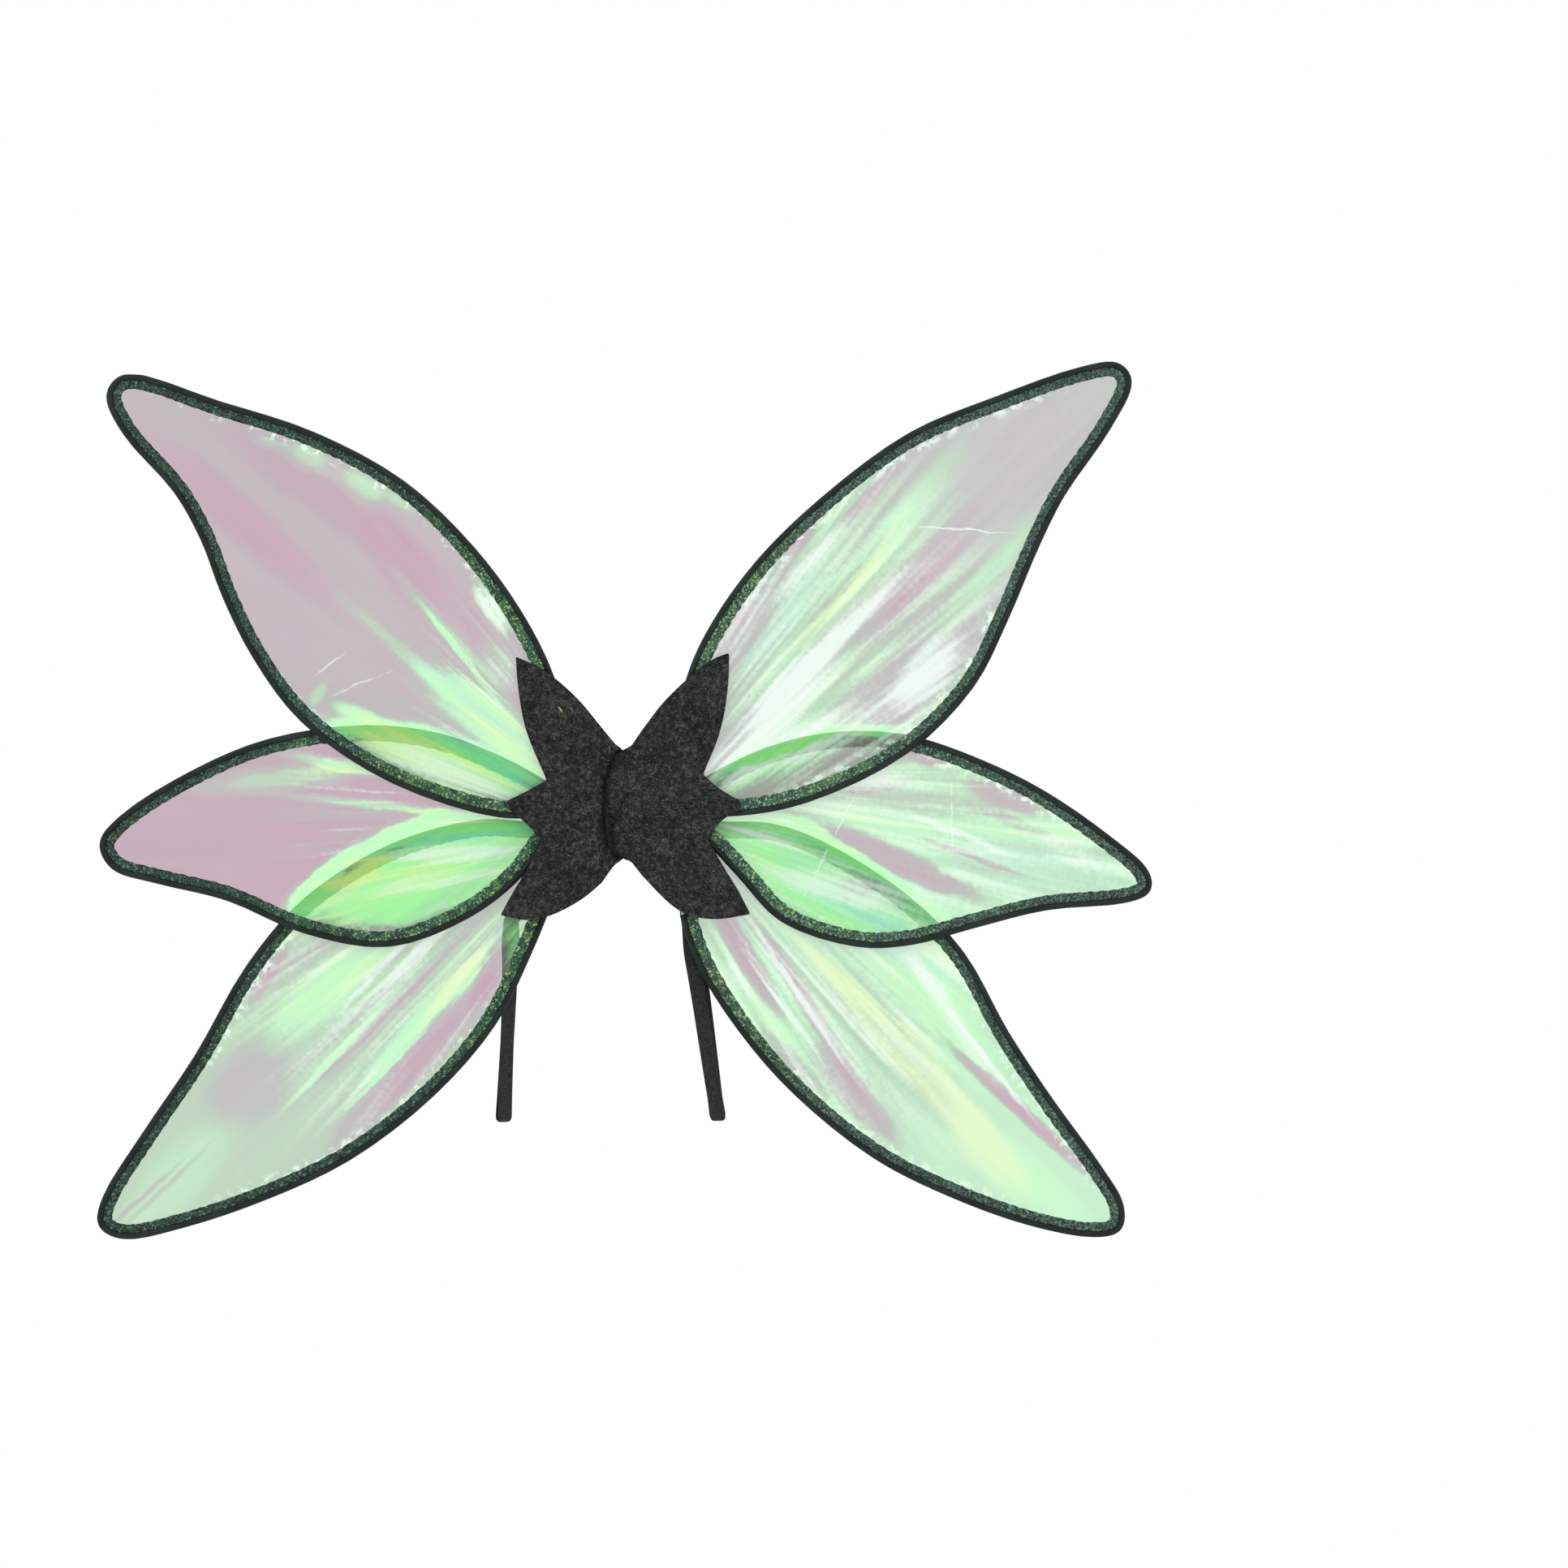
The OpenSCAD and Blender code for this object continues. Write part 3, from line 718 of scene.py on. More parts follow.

# Each film's stretches of hem with painted highlights on its puckers, as (start, end, amount)
# along its edge, its fan point and where its colours grow calm. Then its own share of each tint,
# with patches that add to it: (across, up, half length, half width, turn in degrees, amount), in
# millimetres.
FILMS = {
    "upper_left": {
        "highlit_puckers": ((0.54, 0.92, 1.0), (0.1, 0.3, 0.5)), "fan": (20, -26), "calm": (125, 215),
        "green": (-0.42, ((-196, 146, 74, 13, -42, -0.55), (-158, 162, 78, 14, -35, -0.42),
        (-112, 122, 34, 15, -52, -0.5), (-178, 90, 36, 18, -55, -0.12), (-163, 180, 14, 7.5, -22, 0.95),
        (-183, 187, 10, 4, -22, 0.8), (-134, 164, 17, 8, -26, 0.95), (-113, 156, 11, 5, -38, 0.8),
        (-68, 101, 19, 7, -58, 1.1), (-73, 46, 46, 14, -34, 1.3), (-117, 82, 44, 4.5, -40, 0.75),
        (-92, 91, 48, 4.2, -48, 0.75), (-84, 78, 40, 2, -52, 0.8), (-63, 72, 17, 9, -60, 1.0),
        (-158, 56, 10, 4, 60, 0.7), (-138, 46, 16, 5, -22, 0.9), (-96, 20, 56, 13, -24, 1.5),
        (-130, 39, 34, 5, -4, 1.3), (-80, 28, 36, 5, -25, 1.0), (-54, 16, 28, 12, -25, 1.0),)),
        "warm": (0.0, ((-62, 36, 34, 10, -30, 0.5), (-96, 20, 52, 12, -24, 1.0),)),
        "pale_highlight": (0.0, ((-148, 172, 38, 8, -25, 0.3), (-68, 101, 17, 5, -58, 0.9),
        (-63, 68, 16, 6, -55, 0.5), (-152, 72, 12, 0.8, 38, 0.7), (-138, 61, 21, 0.8, 23, 0.6),
        (-90, 16, 44, 8, -22, 0.8),)),
    },
    "upper_right": {
        "highlit_puckers": ((0.6, 0.95, 0.7), (0.12, 0.4, 0.8)), "fan": (-52, -82), "calm": (265, 350),
        "green": (-0.02, ((114, 94, 100, 42, 48, 0.44), (141, 143, 60, 8, 51, 0.4),
        (156, 120, 50, 11, 48, -0.62), (92, 137, 11, 4, 45, -0.8), (61, 96, 11, 5, 60, -0.8),
        (130, 161, 26, 3.5, 46, -0.8), (102, 80, 50, 3.0, 44, -0.6), (138, 94, 44, 4.0, 50, -0.5),
        (120, 118, 40, 2.4, 48, -0.5), (90, 62, 40, 2.2, 42, -0.5), (186, 114, 50, 7, 48, 0.7),
        (214, 190, 46, 26, 45, -0.25), (84, 32, 34, 9, 24, 0.4), (70, 24, 22, 3, 30, -0.6),
        (76, 26, 40, 4, 21, 0.7), (126, 38, 26, 3.6, 2, 1.2), (92, 26, 50, 10, 18, 0.5),)),
        "warm": (0.0, ((184, 112, 40, 4, 48, 0.5), (108, 102, 36, 6, 45, 0.7),)),
        "pale_highlight": (0.34, ((112, 86, 56, 5, 46, 0.9), (88, 58, 36, 12, 42, 0.8), (158, 68, 26, 12, 50, 0.7),
        (96, 124, 30, 4, 50, 0.6), (176, 142, 27, 0.6, -4, 0.6), (80, 28, 54, 13, 18, 0.6),
        (80, 27, 44, 3.5, 20, -0.9),)),
    },
    "middle_left": {
        "highlit_puckers": ((0.12, 0.3, 0.4),), "fan": (48, -4), "calm": (190, 260),
        "green": (-0.86, ((-174, 13, 52, 7, 6, 1.2), (-135, 0, 50, 3, -6, 1.3), (-150, 20, 34, 3, -12, 1.2),
        (-120, 14, 40, 2, -14, 0.8), (-152, 27, 13, 2.5, -10, -0.6), (-98, 24, 56, 12, -22, 2.1),
        (-112, -40, 58, 19, 16, 2.4), (-80, -34, 46, 16, 4, 2.0), (-100, -56, 44, 8, 10, 1.5),
        (-62, -12, 22, 6, 2, 1.3), (-155, -38, 24, 5.5, 40, 2.6), (-118, -17, 34, 6, 22, 2.2),
        (-74, -8, 34, 5, -3, 2.0), (-56, -19, 36, 13, 0, 1.6), (-97, -14, 20, 7, 15, 1.4),
        (-162, -50, 18, 9, 45, 1.6),)),
        "warm": (0.0, ((-138, 10, 40, 8, -8, 0.8), (-98, 24, 48, 10, -22, 0.8), (-140, -40, 24, 7, 35, 0.9),
        (-100, -38, 34, 5, 16, 0.7), (-118, -17, 34, 4, 22, -0.6),)),
        "pale_highlight": (0.0, ((-84, -26, 40, 6, 3, 0.9), (-96, -40, 40, 6, 10, 0.7),)),
    },
    "middle_right": {
        "highlit_puckers": ((0.55, 0.85, 1.0), (0.05, 0.3, 0.7)), "fan": (-58, 22), "calm": (320, 370),
        "green": (0.8, ((138, -28, 56, 7.5, -24, -1.5), (208, -12, 30, 3.5, -22, -0.5),
        (198, 3, 22, 6, -20, -1.0), (158, 25, 13, 6, -20, -1.1), (134, 9, 18, 3.5, 8, -0.8),
        (182, -28, 30, 1.6, -20, -0.8), (84, -32, 44, 14, -20, 0.4), (120, -45, 14, 6, 10, -0.8),
        (80, -10, 32, 4.5, -3, 1.2), (68, -17, 28, 9, -8, 0.6), (118, -26, 34, 4.5, -32, 1.5),
        (156, -50, 16, 4, -38, 1.0),)),
        "warm": (0.0, ((84, -30, 40, 12, -18, 0.5), (190, -32, 26, 3, -15, 0.6),)),
        "pale_highlight": (0.3, ((138, -28, 54, 7.5, -24, -0.5), (112, -44, 40, 8, -12, 0.6),
        (124, 14, 26, 8, 0, 0.6), (232, -26, 16, 7, -25, 0.4), (107, -23, 32, 0.6, 63, 0.7),
        (171, -7, 21, 0.5, 90, 0.6), (176, -16, 30, 2.5, -22, 0.6), (68, -17, 24, 7, -8, 0.5),
        (118, -26, 36, 4, -32, -1.0),)),
    },
    "lower_left": {
        "highlit_puckers": ((0.62, 0.85, 1.0), (0.1, 0.42, 0.7)), "fan": (32, 44), "calm": (240, 310),
        "green": (0.3, ((-232, -196, 52, 18, 50, 0.26), (-194, -147, 28, 20, 45, -0.4),
        (-105, -132, 62, 9, 46, -1.15), (-69, -88, 20, 6, 62, -1.1), (-104, -112, 50, 5, 46, 0.8),
        (-154, -101, 48, 14, 46, 0.55), (-118, -105, 54, 1.8, 45, -0.9), (-132, -104, 48, 1.4, 45, -0.6),
        (-183, -88, 17, 3.5, 56, -0.9), (-150, -132, 40, 2.0, 46, 0.6), (-122, -138, 34, 1.6, 45, 0.9),
        (-118, -36, 54, 19, 20, 1.5), (-250, -205, 30, 1.6, 42, -0.5), (-238, -200, 34, 1.4, 44, -0.35),)),
        "warm": (0.0, ((-92, -98, 34, 6, 50, 0.9), (-122, -36, 46, 15, 22, 1.0),)),
        "pale_highlight": (0.22, ((-100, -72, 48, 4, 48, 0.8), (-124, -84, 44, 2, 47, 0.7),)),
    },
    "lower_right": {
        "highlit_puckers": ((0.5, 0.9, 0.7), (0.08, 0.4, 0.6)), "fan": (-30, 58), "calm": (240, 320),
        "green": (0.64, ((62, -76, 40, 6, -60, -1.5), (97, -106, 50, 4.5, -58, -1.1),
        (120, -152, 34, 9, -50, -1.05), (90, -136, 26, 5, -50, -0.9), (168, -104, 50, 9, -56, 0.4),
        (207, -160, 54, 3.8, -43, -1.7), (206, -192, 44, 12, -40, 0.4), (96, -30, 50, 15, -22, 0.9),)),
        "warm": (0.0, ((146, -128, 80, 10, -47, 1.5), (186, -178, 44, 14, -45, 0.8),)),
        "pale_highlight": (0.32, ((77, -93, 44, 1.2, -56, 0.6), (88, -94, 56, 1.6, -57, 0.6),
        (82, -104, 40, 1.0, -54, 0.6), (168, -106, 46, 5, -56, 0.6), (60, -92, 16, 3, -60, 0.6),
        (190, -134, 40, 1.6, -52, 0.7),)),
    },
}
FILM_SEEDS = {name: 3.0 + 7.1 * i for i, name in enumerate(FILMS)}


def painted(tree, name):
    """A value painted on the points of the piece."""
    node = tree.nodes.new("ShaderNodeAttribute")
    node.attribute_name = name
    return Signal(node.outputs["Fac"])


def film_material(name):
    """The shared shimmer with this petal's own fan and patches."""
    material, shader, place = new_material(f"shimmer_{name}")
    look = FILMS[name]
    seed = FILM_SEEDS[name]
    spot = use_group(WARPED, Place=place, Amount=0.0012, Seed=seed)
    # Painted highlights on the film's puckers beside the hem, in the listed stretches.
    beside_hem = fade(painted(place.tree, "hem_gap"), 0.0058, 0.0002)
    pucker_highlight_spots = fade(noise(place, 230, 2, 0.6), 0.5, 0.62)
    pucker_highlight = beside_hem * pucker_highlight_spots * painted(place.tree, "pucker_highlight_here")
    tints = {}
    for tint, shine in (("green", 0.7), ("warm", 0.0), ("pale_highlight", 0.9)):
        total, patches = look[tint]
        for across, up, half_long, half_wide, turn, amount in patches:
            patch = use_group(
                PATCH, **spot, Middle_X=across / 1000, Middle_Z=up / 1000,
                Long=half_long / 1000, Wide=half_wide / 1000, Turn=math.radians(turn),
            )
            total = patch["Mask"] * amount + total
        tints[tint] = pucker_highlight * shine + total
    fan_x, fan_z = (value / 1000 for value in look["fan"])
    calm_from, calm_to = (value / 1000 for value in look["calm"])
    shimmer = use_group(
        SHIMMER, Place=place, Fan_X=fan_x, Fan_Z=fan_z, Seed=seed, Calm_From=calm_from, Calm_To=calm_to,
        Green=tints["green"], Warm=tints["warm"], Pale=tints["pale_highlight"],
    )
    give(
        shader,
        Base_Color=shimmer["Color"],
        Alpha=fade(shimmer["Streak"], -0.6, 0.6, 0.59, 0.63),
        Roughness=fade(shimmer["Streak"], -0.6, 0.6, 0.34, 0.2),
        Normal=relief(shimmer["Height"], 0.0007),
        Specular_IOR_Level=0.5,
    )
    return material


def nearest_edge(points, line):
    """Each point's distance to the edge, and the index of the nearest edge point."""
    distance = np.empty(len(points))
    index = np.empty(len(points), int)
    for i in range(0, len(points), 2000):
        gap = np.linalg.norm(points[i:i + 2000, None, :] - line[None, :, :], axis=2)
        index[i:i + 2000] = gap.argmin(axis=1)
        distance[i:i + 2000] = gap.min(axis=1)
    return distance, index


def inside(points, line):
    """Whether each point is within the closed line."""
    x, z = points.T
    within = np.zeros(len(points), bool)
    for (ax, az), (bx, bz) in zip(line, np.roll(line, -1, axis=0)):
        crosses = (az > z) != (bz > z)
        if az != bz:
            within ^= crosses & (x < (bx - ax) * (z - az) / (bz - az) + ax)
    return within


def staggered(low, high, step):
    """Points in staggered rows, each moved a little at random."""
    spots = []
    for i, z in enumerate(np.arange(low[1], high[1], step * 0.866)):
        spots += [(x + (i % 2) * step / 2, z) for x in np.arange(low[0], high[0], step)]
    return np.array(spots) + rng.uniform(-0.16, 0.16, (len(spots), 2)) * step


def filled(edge, loose):
    """Triangles over a closed edge and the loose points inside it."""
    spots = np.concatenate([edge, *loose]).tolist()
    ring = [(i, (i + 1) % len(edge)) for i in range(len(edge))]
    places, _, faces, _, _, _ = delaunay_2d_cdt([tuple(p) for p in spots], ring, [], 1, 1e-5)
    return np.array([tuple(p) for p in places]), [list(face) for face in faces]


def waves(value, pitch, count):
    """A sum of sines of about one pitch, from -1 to 1."""
    total = np.zeros_like(value)
    for _ in range(count):
        total += np.sin(2 * np.pi * value / pitch * rng.uniform(0.5, 1.5) + rng.uniform(0, 6.3))
    return total / count


def paint_points(piece, name, values):
    piece.data.attributes.new(name, "FLOAT", "POINT").data.foreach_set("value", values)


for name, (rim, out) in rims.items():
    look = FILMS[name]
    line, _, hem_room, hem_run, _ = hem_lines[name]
    outline = evenly(rim - out * FILM_EDGE, FILM_RIM_STEP)
    loose = []
    for step, near, far in FILM_GRIDS:
        grid = staggered(outline.min(axis=0), outline.max(axis=0), step)
        grid = grid[inside(grid, outline)]
        distance, _ = nearest_edge(grid, outline)
        root = np.abs(grid[:, 0]) - np.abs(outline[[0, -1], 0]).min()
        loose.append(grid[(distance > near) & (distance <= far) & (root > 0.6)])
    places, faces = filled(outline, loose)
    distance, index = nearest_edge(places, line)
    distance = np.where(inside(places, line), distance, 0)
    beyond_hem = distance - hem_room[index]
    run = hem_run[index]
    x, z = places.T
    fan_x, fan_z = look["fan"]
    swing = np.arctan2(z - fan_z, np.abs(x - fan_x))
    reach = np.hypot(x - fan_x, z - fan_z)
    free = step_up(beyond_hem, 0, FREE_BEYOND)
    near_hem = np.exp(-np.clip(beyond_hem, 0, None) / 5.5) * np.clip(beyond_hem / 1.2 + 0.3, 0, 1)
    creases = 0.34 * waves(swing, 0.17, 4)
    creases += 0.16 * waves(swing + 0.0006 * reach, 0.06, 5) * np.exp(-reach / 170)
    puckers = 0.26 * waves(run, PUCKER_PITCH, 4) + 0.16 * waves(run + 0.3 * distance, 3.4, 4)
    slack = 0.12 * waves(x + 0.6 * z, 42, 3)
    depth = layer_y[name] + (creases + slack - FILM_BACK) * free + puckers * near_hem
    points = spaced(x, depth, z)
    film = add_piece(f"shimmer_film_{name}", points, faces, film_material(name), "shimmer_film")
    paint_points(film, "hem_gap", np.clip(beyond_hem, 0, 20) / 1000)
    # Where along the hem the film's puckers get a painted highlight.
    share = run / hem_run[-1]
    highlit_puckers = np.zeros(len(places))
    for start, end, amount in look["highlit_puckers"]:
        stretch = step_up(share, start, start + HIGHLIGHT_FADE) * step_up(-share, -end, HIGHLIGHT_FADE - end)
        highlit_puckers = np.maximum(highlit_puckers, amount * stretch)
    paint_points(film, "pucker_highlight_here", highlit_puckers)
    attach(film, wing_of(name))
    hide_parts(f"film_{name}")
    axis = np.linalg.svd(outline - outline.mean(axis=0))[2]


# --- Back felt ---
# Two leaf-shaped halves of black craft felt, die-cut from a 2 mm sheet, whipped together
# down the middle and glued behind the petals.
FELT_STEP = 0.9
FELT_GRID = 1.7
FELT_RIM = 0.9
RIM_ROWS = (0.3, 0.9)
GRID_FROM = 1.6
HINGE_SPAN = (4, 16)
SEAM_GAP = 0.25
LOBE_CURL = 0.5


def felt_layer(outline, middle, front_dent=None):
    """A thick felt shape on a flat outline, with soft cut edges. middle gives its depth."""
    edge = evenly(np.concatenate([outline, outline[:1]]), FELT_STEP, 1)[:-1]
    grid = staggered(edge.min(axis=0), edge.max(axis=0), FELT_GRID)
    normal = outward(edge)
    loose = []
    for depth in RIM_ROWS:
        row = edge - normal * depth
        distance, _ = nearest_edge(row, edge)
        loose.append(row[inside(row, edge) & (distance > depth * 0.8)])
    distance, _ = nearest_edge(grid, edge)
    loose.append(grid[inside(grid, edge) & (distance > GRID_FROM)])
    places, faces = filled(edge, loose)
    distance, _ = nearest_edge(places, edge)
    share = np.clip(distance / FELT_RIM, 0, 1)
    half_thick = felt_t * (0.3 + 0.7 * np.sqrt(1 - (1 - share) ** 2)) / 2
    x, z = places.T
    depth = middle(x, z)
    front = depth - half_thick
    if front_dent:
        front = front + front_dent(places)
    count = len(places)
    points = np.concatenate([spaced(x, front, z), spaced(x, depth + half_thick, z)])
    edges = [pair for face in faces for pair in zip(face, face[1:] + face[:1])]
    known = set(edges)
    walls = [[i, j, j + count, i + count] for i, j in edges if (j, i) not in known]
    behind = [[i + count for i in face[::-1]] for face in faces]
    return points, faces + behind + walls


FUZZ, given, result = new_group(
    "felt_fuzz",
    ["Place", "Fibres", "Fibre Frizz", "Fibre Share", "Matting", "Matting Frizz", "Matting Share"],
    ["Fuzz"],
)
fibres = noise(given["Place"], given["Fibres"], 5, given["Fibre Frizz"]) * given["Fibre Share"]
matting = noise(given["Place"], given["Matting"], 3, given["Matting Frizz"]) * given["Matting Share"]
feed(result["Fuzz"], fibres + matting)

plain_felt, shader, place = new_material("plain_black_felt")
fuzz = use_group(
    FUZZ, Place=place, Fibres=1300, Fibre_Frizz=0.72, Fibre_Share=0.7,
    Matting=160, Matting_Frizz=0.6, Matting_Share=0.3,
)["Fuzz"]
give(
    shader,
    Base_Color=tones(fuzz, (0.38, (0.008, 0.009, 0.009)), (0.66, (0.035, 0.037, 0.037))),
    Normal=relief(fuzz, 0.0006),
    Roughness=0.95,
    Sheen_Weight=0.06,
    Sheen_Roughness=0.6,
    Specular_IOR_Level=0.15,
)

back_low, back_high = box_mm("back_felt_left")
felt_t = back_high[1] - back_low[1]
back_middle = (back_low[1] + back_high[1]) / 2
waist_loop = open_outline("waist_back")
waist_loop = waist_loop[np.abs(waist_loop[:, 0]) < 9]
waist_top = sorted(waist_loop[waist_loop[:, 1] > 0].tolist())
waist_foot = sorted(waist_loop[waist_loop[:, 1] < 0].tolist())


def bend_with(piece, side):
    """Bakes the felt's placement into its points; its bend span is worked out but not used."""
    near, far = (np.array(HINGE_SPAN) * (-1 if side == "left" else 1) / 1000).tolist()
    if side == "right":
        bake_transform(piece)
    else:
        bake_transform(piece)


def back_depth(x, z):
    """Flat against the wearer, and curled a little at the upper lobes."""
    return back_middle - LOBE_CURL * step_up(z, 58, 78)


BACK_INNER = {
    "left": [p for p in waist_foot if p[0] < 0]
    + [(-SEAM_GAP, -29.4), (-SEAM_GAP, 28.2)]
    + [p for p in waist_top if p[0] < 0][::-1],
    "right": [p for p in waist_foot if p[0] > 2][::-1]
    + [(SEAM_GAP, -29.0), (SEAM_GAP, 27.8)]
    + [p for p in waist_top if p[0] > 2],
}
BACK_COVERS = {"left": ["back_felt_left"], "right": ["back_felt_right", "waist_back"]}
for side in SIDES:
    outline = np.concatenate([open_outline(f"back_felt_{side}")[::-1], BACK_INNER[side]])
    half = add_piece(f"back_felt_leaf_{side}", *felt_layer(outline, back_depth), plain_felt, "plain_felt")
    bend_with(half, side)
    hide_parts(*BACK_COVERS[side])

WHIP_FROM, WHIP_TO, WHIP_STEP = -26, 26, 3.4
WHIP_REACH = 2.3
WHIP_WANDER = 0.3
WHIP_LEAN = (1.53, 0.87)
WHIP_RISE = 0.35
WHIP_R = 0.22
whip_depth = back_high[1] - 0.15
bars = []
for i, height in enumerate(np.arange(WHIP_FROM, WHIP_TO, WHIP_STEP)):
    left, right = rng.uniform(-WHIP_WANDER, WHIP_WANDER, 2) + (-WHIP_REACH, WHIP_REACH)
    end = (right, whip_depth, height + WHIP_LEAN[i % 2])
    bars.append(thread_bar((left, whip_depth, height), end, WHIP_RISE, WHIP_R))
black_thread, shader, place = new_material("black_thread")
twist = use_group(TWIST, Place=place, Fineness=2400)["Twist"]
give(
    shader,
    Base_Color=tones(twist, (0.3, (0.015, 0.015, 0.016)), (0.7, (0.07, 0.07, 0.072))),
    Normal=relief(twist, 0.00006),
    Roughness=0.6,
    Sheen_Weight=0.4,
)
whipping = add_piece("waist_whip_stitches", *joined(bars), black_thread, "stitch_thread")
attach(whipping, "spine")


# --- Rolled felt core ---
# A scrap of the same felt, rolled up and glued in the waist to hold the two faces apart.
ROLL_TURNS = 1.45
ROLL_STEPS = 90
ROLL_START = 1.3
ROLL_SECTION = ((-1, 0.94), (-0.6, 1), (0.6, 1), (1, 0.94), (1, -0.94), (0.6, -1), (-0.6, -1), (-1, -0.94))
low, high = box_mm("waist_core")
wide, deep, tall = high - low
turns = np.linspace(0, ROLL_TURNS, ROLL_STEPS)
angle = 2 * np.pi * turns + 1.0
radius = ROLL_START + (wide / 2 - ROLL_START - felt_t / 2) / ROLL_TURNS * turns
roll_depth = (low[1] + felt_t + high[1]) / 2
squash = (deep - felt_t - 0.5) / wide
columns = []
for out_by, up_by in ROLL_SECTION:
    reach = radius + out_by * felt_t * 0.46
    height = tall / 2 * up_by + 0.35 * np.sin(angle * 1.7) * np.sign(up_by)
    columns.append(spaced(reach * np.cos(angle), roll_depth + squash * reach * np.sin(angle), height))
points = np.stack(columns, 1).reshape(-1, 3)
faces = ring_faces(ROLL_STEPS, len(columns), capped=True)
core = add_piece("rolled_felt_core", points, faces, plain_felt, "plain_felt")
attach(core, "spine")
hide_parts("waist_core")


# --- Front felt ---
# Two leaf-shaped halves of black felt with fine glitter in it, die-cut from a 2 mm sheet.
# The right half laps over the left at the waist, and the glue has puckered it there.
LAP_DROP = 2.15
LAP_EDGE = [
    (-3.2, 25.6), (-6.0, 18.6), (-8.4, 11.8), (-9.0, 4.5),
    (-8.9, -6), (-8.6, -15), (-7.2, -22), (-3.6, -27),
]
UNDER_EDGE = [(3.5, -25), (3.5, 24)]
CREASES = (
    ([(-8.8, 3), (-6.6, -4), (-5.3, -9), (-5.2, -16), (-4.9, -21), (-2.2, -26)], 1.1, 1.15),
    ([(2.0, 4.3), (0.2, 0.5), (-2.0, -4.5), (-3.6, -8)], 0.75, 1.0),
    ([(-1.6, 24), (-1.0, 17), (-2.6, 10)], 0.45, 1.3),
)
LAP_SHADE = ([waist_foot[1]] + LAP_EDGE[::-1] + [waist_top[1]], 1.0, 1.5)
CREASE_STEP = 0.4
FLECK = {"Middle_X": -0.0318, "Middle_Z": 0.0487, "Long": 0.0019, "Wide": 0.0005, "Turn": math.radians(-52)}

glitter_felt, shader, place = new_material("glitter_black_felt")
shade = noise(place, 55, 2)
sparks = noise(place, 1900, 1)
fuzz = use_group(
    FUZZ, Place=place, Fibres=820, Fibre_Frizz=0.75, Fibre_Share=0.42,
    Matting=420, Matting_Frizz=0.65, Matting_Share=0.46,
)["Fuzz"] + shade * 0.12
black = ((0.40, (0.005, 0.006, 0.006)), (0.51, (0.020, 0.021, 0.020)), (0.64, (0.076, 0.078, 0.076)))
tinted = tones(shade, (0.35, (0.32, 0.34, 0.38)), (0.65, (0.36, 0.38, 0.33)))
speckled = mixed(fade(sparks, 0.70, 0.75) * 0.7, tones(fuzz, *black), tinted)
x, _, z = split(place)
marked = mixed(use_group(PATCH, X=x, Z=z, **FLECK)["Mask"] * 0.85, speckled, (0.46, 0.42, 0.18))
# Painted shade: the felt darkens in its creases and under the lapped edge.
give(
    shader,
    Base_Color=mixed(painted(place.tree, "crease_shade") * 0.9, marked, (0.002, 0.002, 0.002)),
    Roughness=fade(sparks, 0.62, 0.74, 0.92, 0.3),
    Normal=relief(fuzz, 0.0009),
    Sheen_Weight=0.03,
    Sheen_Roughness=0.6,
    Specular_IOR_Level=0.1,
)

front_low, front_high = box_mm("front_felt_left")
front_middle = (front_low[1] + front_high[1]) / 2


def waist_dents(places):
    """Pinched creases in the lapped felt, each with a soft ridge beside it."""
    dent = np.zeros(len(places))
    for line, deep, wide in CREASES:
        line = evenly(np.array(line, float), CREASE_STEP)
        distance, index = nearest_edge(places, line)
        along = index / (len(line) - 1)
        ends = np.sin(np.pi * np.clip(along * 0.9 + 0.05, 0, 1)) ** 0.5
        dent += deep * ends * np.exp(-(distance / wide) ** 2)
        dent -= 0.28 * deep * ends * np.exp(-((distance - 2.6) / 1.3) ** 2)
    return dent


def pinch_shade(places):
    """Painted shade for each point, from how deep in a crease or under the lap it is."""
    shade = np.zeros(len(places))
    for line, amount, wide in (LAP_SHADE, *CREASES):
        distance, _ = nearest_edge(places, evenly(np.array(line, float), CREASE_STEP))
        shade = np.maximum(shade, min(1, amount) * np.exp(-(distance / wide) ** 2))
    return shade


def sagging(x, z):
    """The lobes sink a little between the hems under them."""
    return 0.12 * np.sin(x / 9 + 1) * np.sin(z / 11) + 0.5 * step_up(-z, 50, 62)


def left_depth(x, z):
    return front_middle + sagging(x, z) * step_up(-x, 16, 26) + LAP_DROP * step_up(x, -13.5, -9.6)


def right_depth(x, z):
    lap = np.exp(-((x + 9) / 2.2) ** 2) * step_up(z, -26, -16) * step_up(-z, -24, -14)
    return front_middle + sagging(x, z) * step_up(x, 16, 26) - 0.25 * lap


under_lap = waist_foot[:2] + UNDER_EDGE + waist_top[:2][::-1]
over_lap = waist_foot[1:][::-1] + LAP_EDGE[::-1] + waist_top[1:]
front_covers = ["front_felt_left"]
for side, inner, depth, dents in (
    ("left", under_lap, left_depth, None),
    ("right", over_lap, right_depth, waist_dents),
):
    outline = np.concatenate([open_outline(f"front_felt_{side}")[::-1], inner])
    points, faces = felt_layer(outline, depth, dents)
    leaf = add_piece(f"front_felt_leaf_{side}", points, faces, glitter_felt, "glitter_felt")
    paint_points(leaf, "crease_shade", pinch_shade(points[:, [0, 2]]))
    bend_with(leaf, side)
    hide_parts(*front_covers)
    front_covers = ["front_felt_right", "waist_front"]


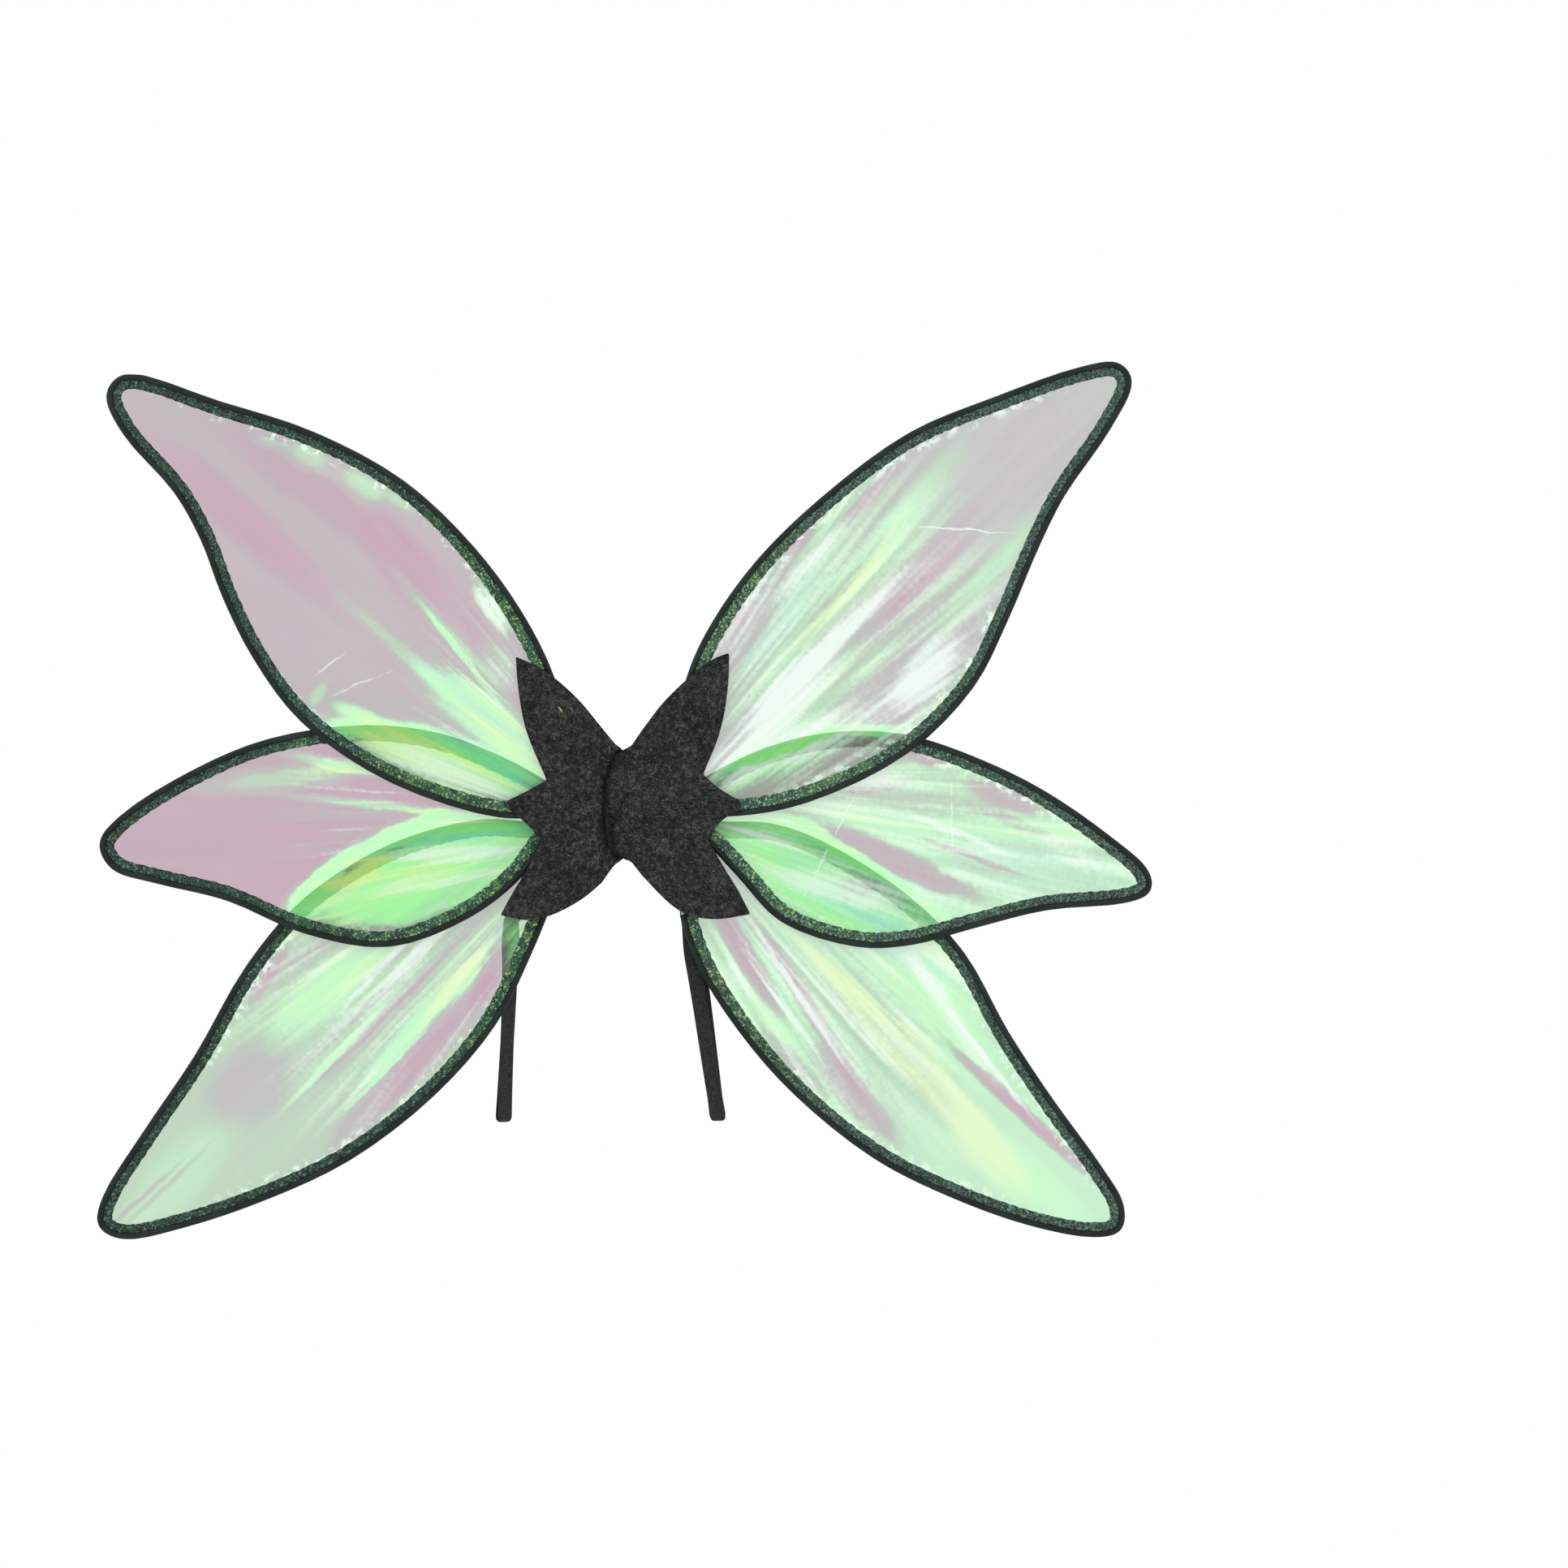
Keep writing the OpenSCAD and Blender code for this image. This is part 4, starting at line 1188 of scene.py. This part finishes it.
# --- Shoulder elastics ---
# One length of 8 mm woven black elastic on each side, sewn flat to the back felt, looped
# down, and brought back up over itself. Its two legs hang one behind the other, a little
# apart at the top, and meet in a fold at the foot.
ELASTIC_W = 8.0
ELASTIC_T = 0.76
RIBS = 7
LEG_TWIST = {"left": 34, "right": 14}
LEG_SPREAD = {"left": 2.0, "right": 2.1}
LEG_GAP = 1.9
FOOT_GAP = 1.55
FOOT_ROUND = 3.2
SWING_SPAN = (-0.058, -0.068)
TACKS = 12
TACK_HALF_ROW = 3.3
TACK_LEAN = 0.28
TACK_REACH = 1.2
TACK_RISE = 0.2
TACK_R = 0.17

elastic, shader, place = new_material("woven_elastic")
x, y, z = split(place)
weave = use_group(PLAIN_WEAVE, Along=z, Across=x + y, Threads=1500)["Height"]
lint = noise(place, 700, 4, 0.7)
give(
    shader,
    Base_Color=tones(lint, (0.35, (0.010, 0.010, 0.011)), (0.68, (0.035, 0.036, 0.037))),
    Normal=relief(weave + lint, 0.00015),
    Roughness=0.75,
    Sheen_Weight=0.05,
    Sheen_Roughness=0.5,
    Specular_IOR_Level=0.2,
)


def elastic_band(line, widths, spans):
    """A ribbed flat band along a line, with its width's directions and its share of full."""
    along = np.gradient(line, axis=0)
    along /= np.linalg.norm(along, axis=1, keepdims=True)
    widths = widths - along * np.sum(widths * along, axis=1, keepdims=True)
    widths /= np.linalg.norm(widths, axis=1, keepdims=True)
    face = np.cross(along, widths)
    across = np.linspace(-1, 1, 4 * RIBS + 1)
    rib = ELASTIC_T / 2 * (0.86 + 0.14 * np.cos(np.pi * RIBS * (across + 1)))
    rib *= 1 - 0.5 * np.abs(across) ** 14
    section = list(zip(across, rib)) + list(zip(across[::-1], -rib[::-1]))
    columns = [line + widths * (a * ELASTIC_W / 2 * spans[:, None]) + face * r for a, r in section]
    faces = ring_faces(len(line), len(section), capped=True)
    return np.stack(columns, 1).reshape(-1, 3), faces


for side in SIDES:
    low, high = box_mm(f"strap_run_{side}")
    tab_low, tab_high = box_mm(f"strap_tab_{side}")
    loop_low, loop_high = box_mm(f"strap_loop_{side}")
    tack_top = box_mm(f"strap_tacks_{side}")[1][2]
    corners = np.array([v.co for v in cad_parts[f"strap_run_{side}"].data.vertices]) * 1000
    corners = corners[np.argsort(corners[:, 2])]
    half = len(corners) // 2
    top = corners[half:].mean(axis=0) * (1, 0, 1)
    fold = corners[:half].mean(axis=0) * (1, 0, 1)
    foot_x = loop_low[0] + ELASTIC_W / 2 if side == "left" else loop_high[0] - ELASTIC_W / 2
    hang_depth = (loop_low[1] + loop_high[1]) / 2
    run_depth = (low[1] + high[1]) / 2
    tab_depth = (tab_low[1] + tab_high[1]) / 2
    line = [top + (fold - top) * share + (0, run_depth, 0) for share in np.linspace(0, 1, 16)]
    width = [(1, 0, 0)] * len(line)
    foot = np.array((foot_x, hang_depth, loop_low[2] + FOOT_GAP + ELASTIC_T / 2))
    for leg, start_depth in ((-1, run_depth), (1, tab_depth)):
        for share in np.linspace(0.02, 1, 60)[::-leg]:
            drop = float(step_up(share, 0, 0.2))
            turn = math.radians(LEG_TWIST[side]) * drop
            gap = LEG_GAP * (1 - 0.18 * share) * (1 - 0.15 * share)
            gap *= math.sin(math.pi * min(share, 0.5)) ** 0.7
            gap += (FOOT_GAP - gap) * float(step_up(share, 0.75, 1))
            apart = LEG_SPREAD[side] * drop * (1 - share) ** 0.8
            middle = fold + (foot - fold) * share
            middle[0] += 0.7 * math.sin(3.0 * share) * (1 - share)
            middle[1] = start_depth + (hang_depth - start_depth) * drop
            across = np.array((math.cos(turn), math.sin(turn), 0))
            off = np.array((-math.sin(turn), math.cos(turn), 0))
            line.append(middle + leg * (off * gap * drop + across * apart))
            width.append(across)
        if leg < 0:
            for bend in np.radians(np.linspace(0, 180, 12)[1:-1]):
                line.append(foot - (off * math.cos(bend) + (0, 0, math.sin(bend))) * FOOT_GAP)
                width.append(across)
    for share in np.linspace(0.01, 1, 10):
        rise = (tab_high[2] - tab_low[2]) * share
        line.append(fold + (top - fold) * rise / (top[2] - fold[2]) + (0, tab_depth, 0))
        width.append((1, 0, 0))
    line = np.array(line)
    spans = 1 - 0.3 * np.clip(1 - (line[:, 2] - line[:, 2].min()) / FOOT_ROUND, 0, 1) ** 2.2
    band_mesh = elastic_band(line, np.array(width), spans)
    band = add_piece(f"shoulder_elastic_{side}", *band_mesh, elastic, "black_elastic")
    start, end = ((fold[0] / 1000, 0, z) for z in SWING_SPAN)
    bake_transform(band)
    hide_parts(f"strap_run_{side}", f"strap_tab_{side}", f"strap_loop_{side}")
    bars = []
    for height, depth in ((tack_top - 2.4, high[1]), (tab_high[2] - 2.6, tab_high[1])):
        middle = fold[0] + (top[0] - fold[0]) * (height - fold[2]) / (top[2] - fold[2])
        for i, offset in enumerate(np.linspace(-TACK_HALF_ROW, TACK_HALF_ROW, TACKS)):
            rise = TACK_REACH * (-1) ** i
            start = (middle + offset - TACK_LEAN, depth - 0.05, height - rise)
            end = (middle + offset + TACK_LEAN, depth - 0.05, height + rise)
            bars.append(thread_bar(start, end, TACK_RISE, TACK_R))
    tacks = add_piece(f"strap_tack_stitches_{side}", *joined(bars), black_thread, "stitch_thread")
    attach(tacks, f"{side}_wing")
    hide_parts(f"strap_tacks_{side}")
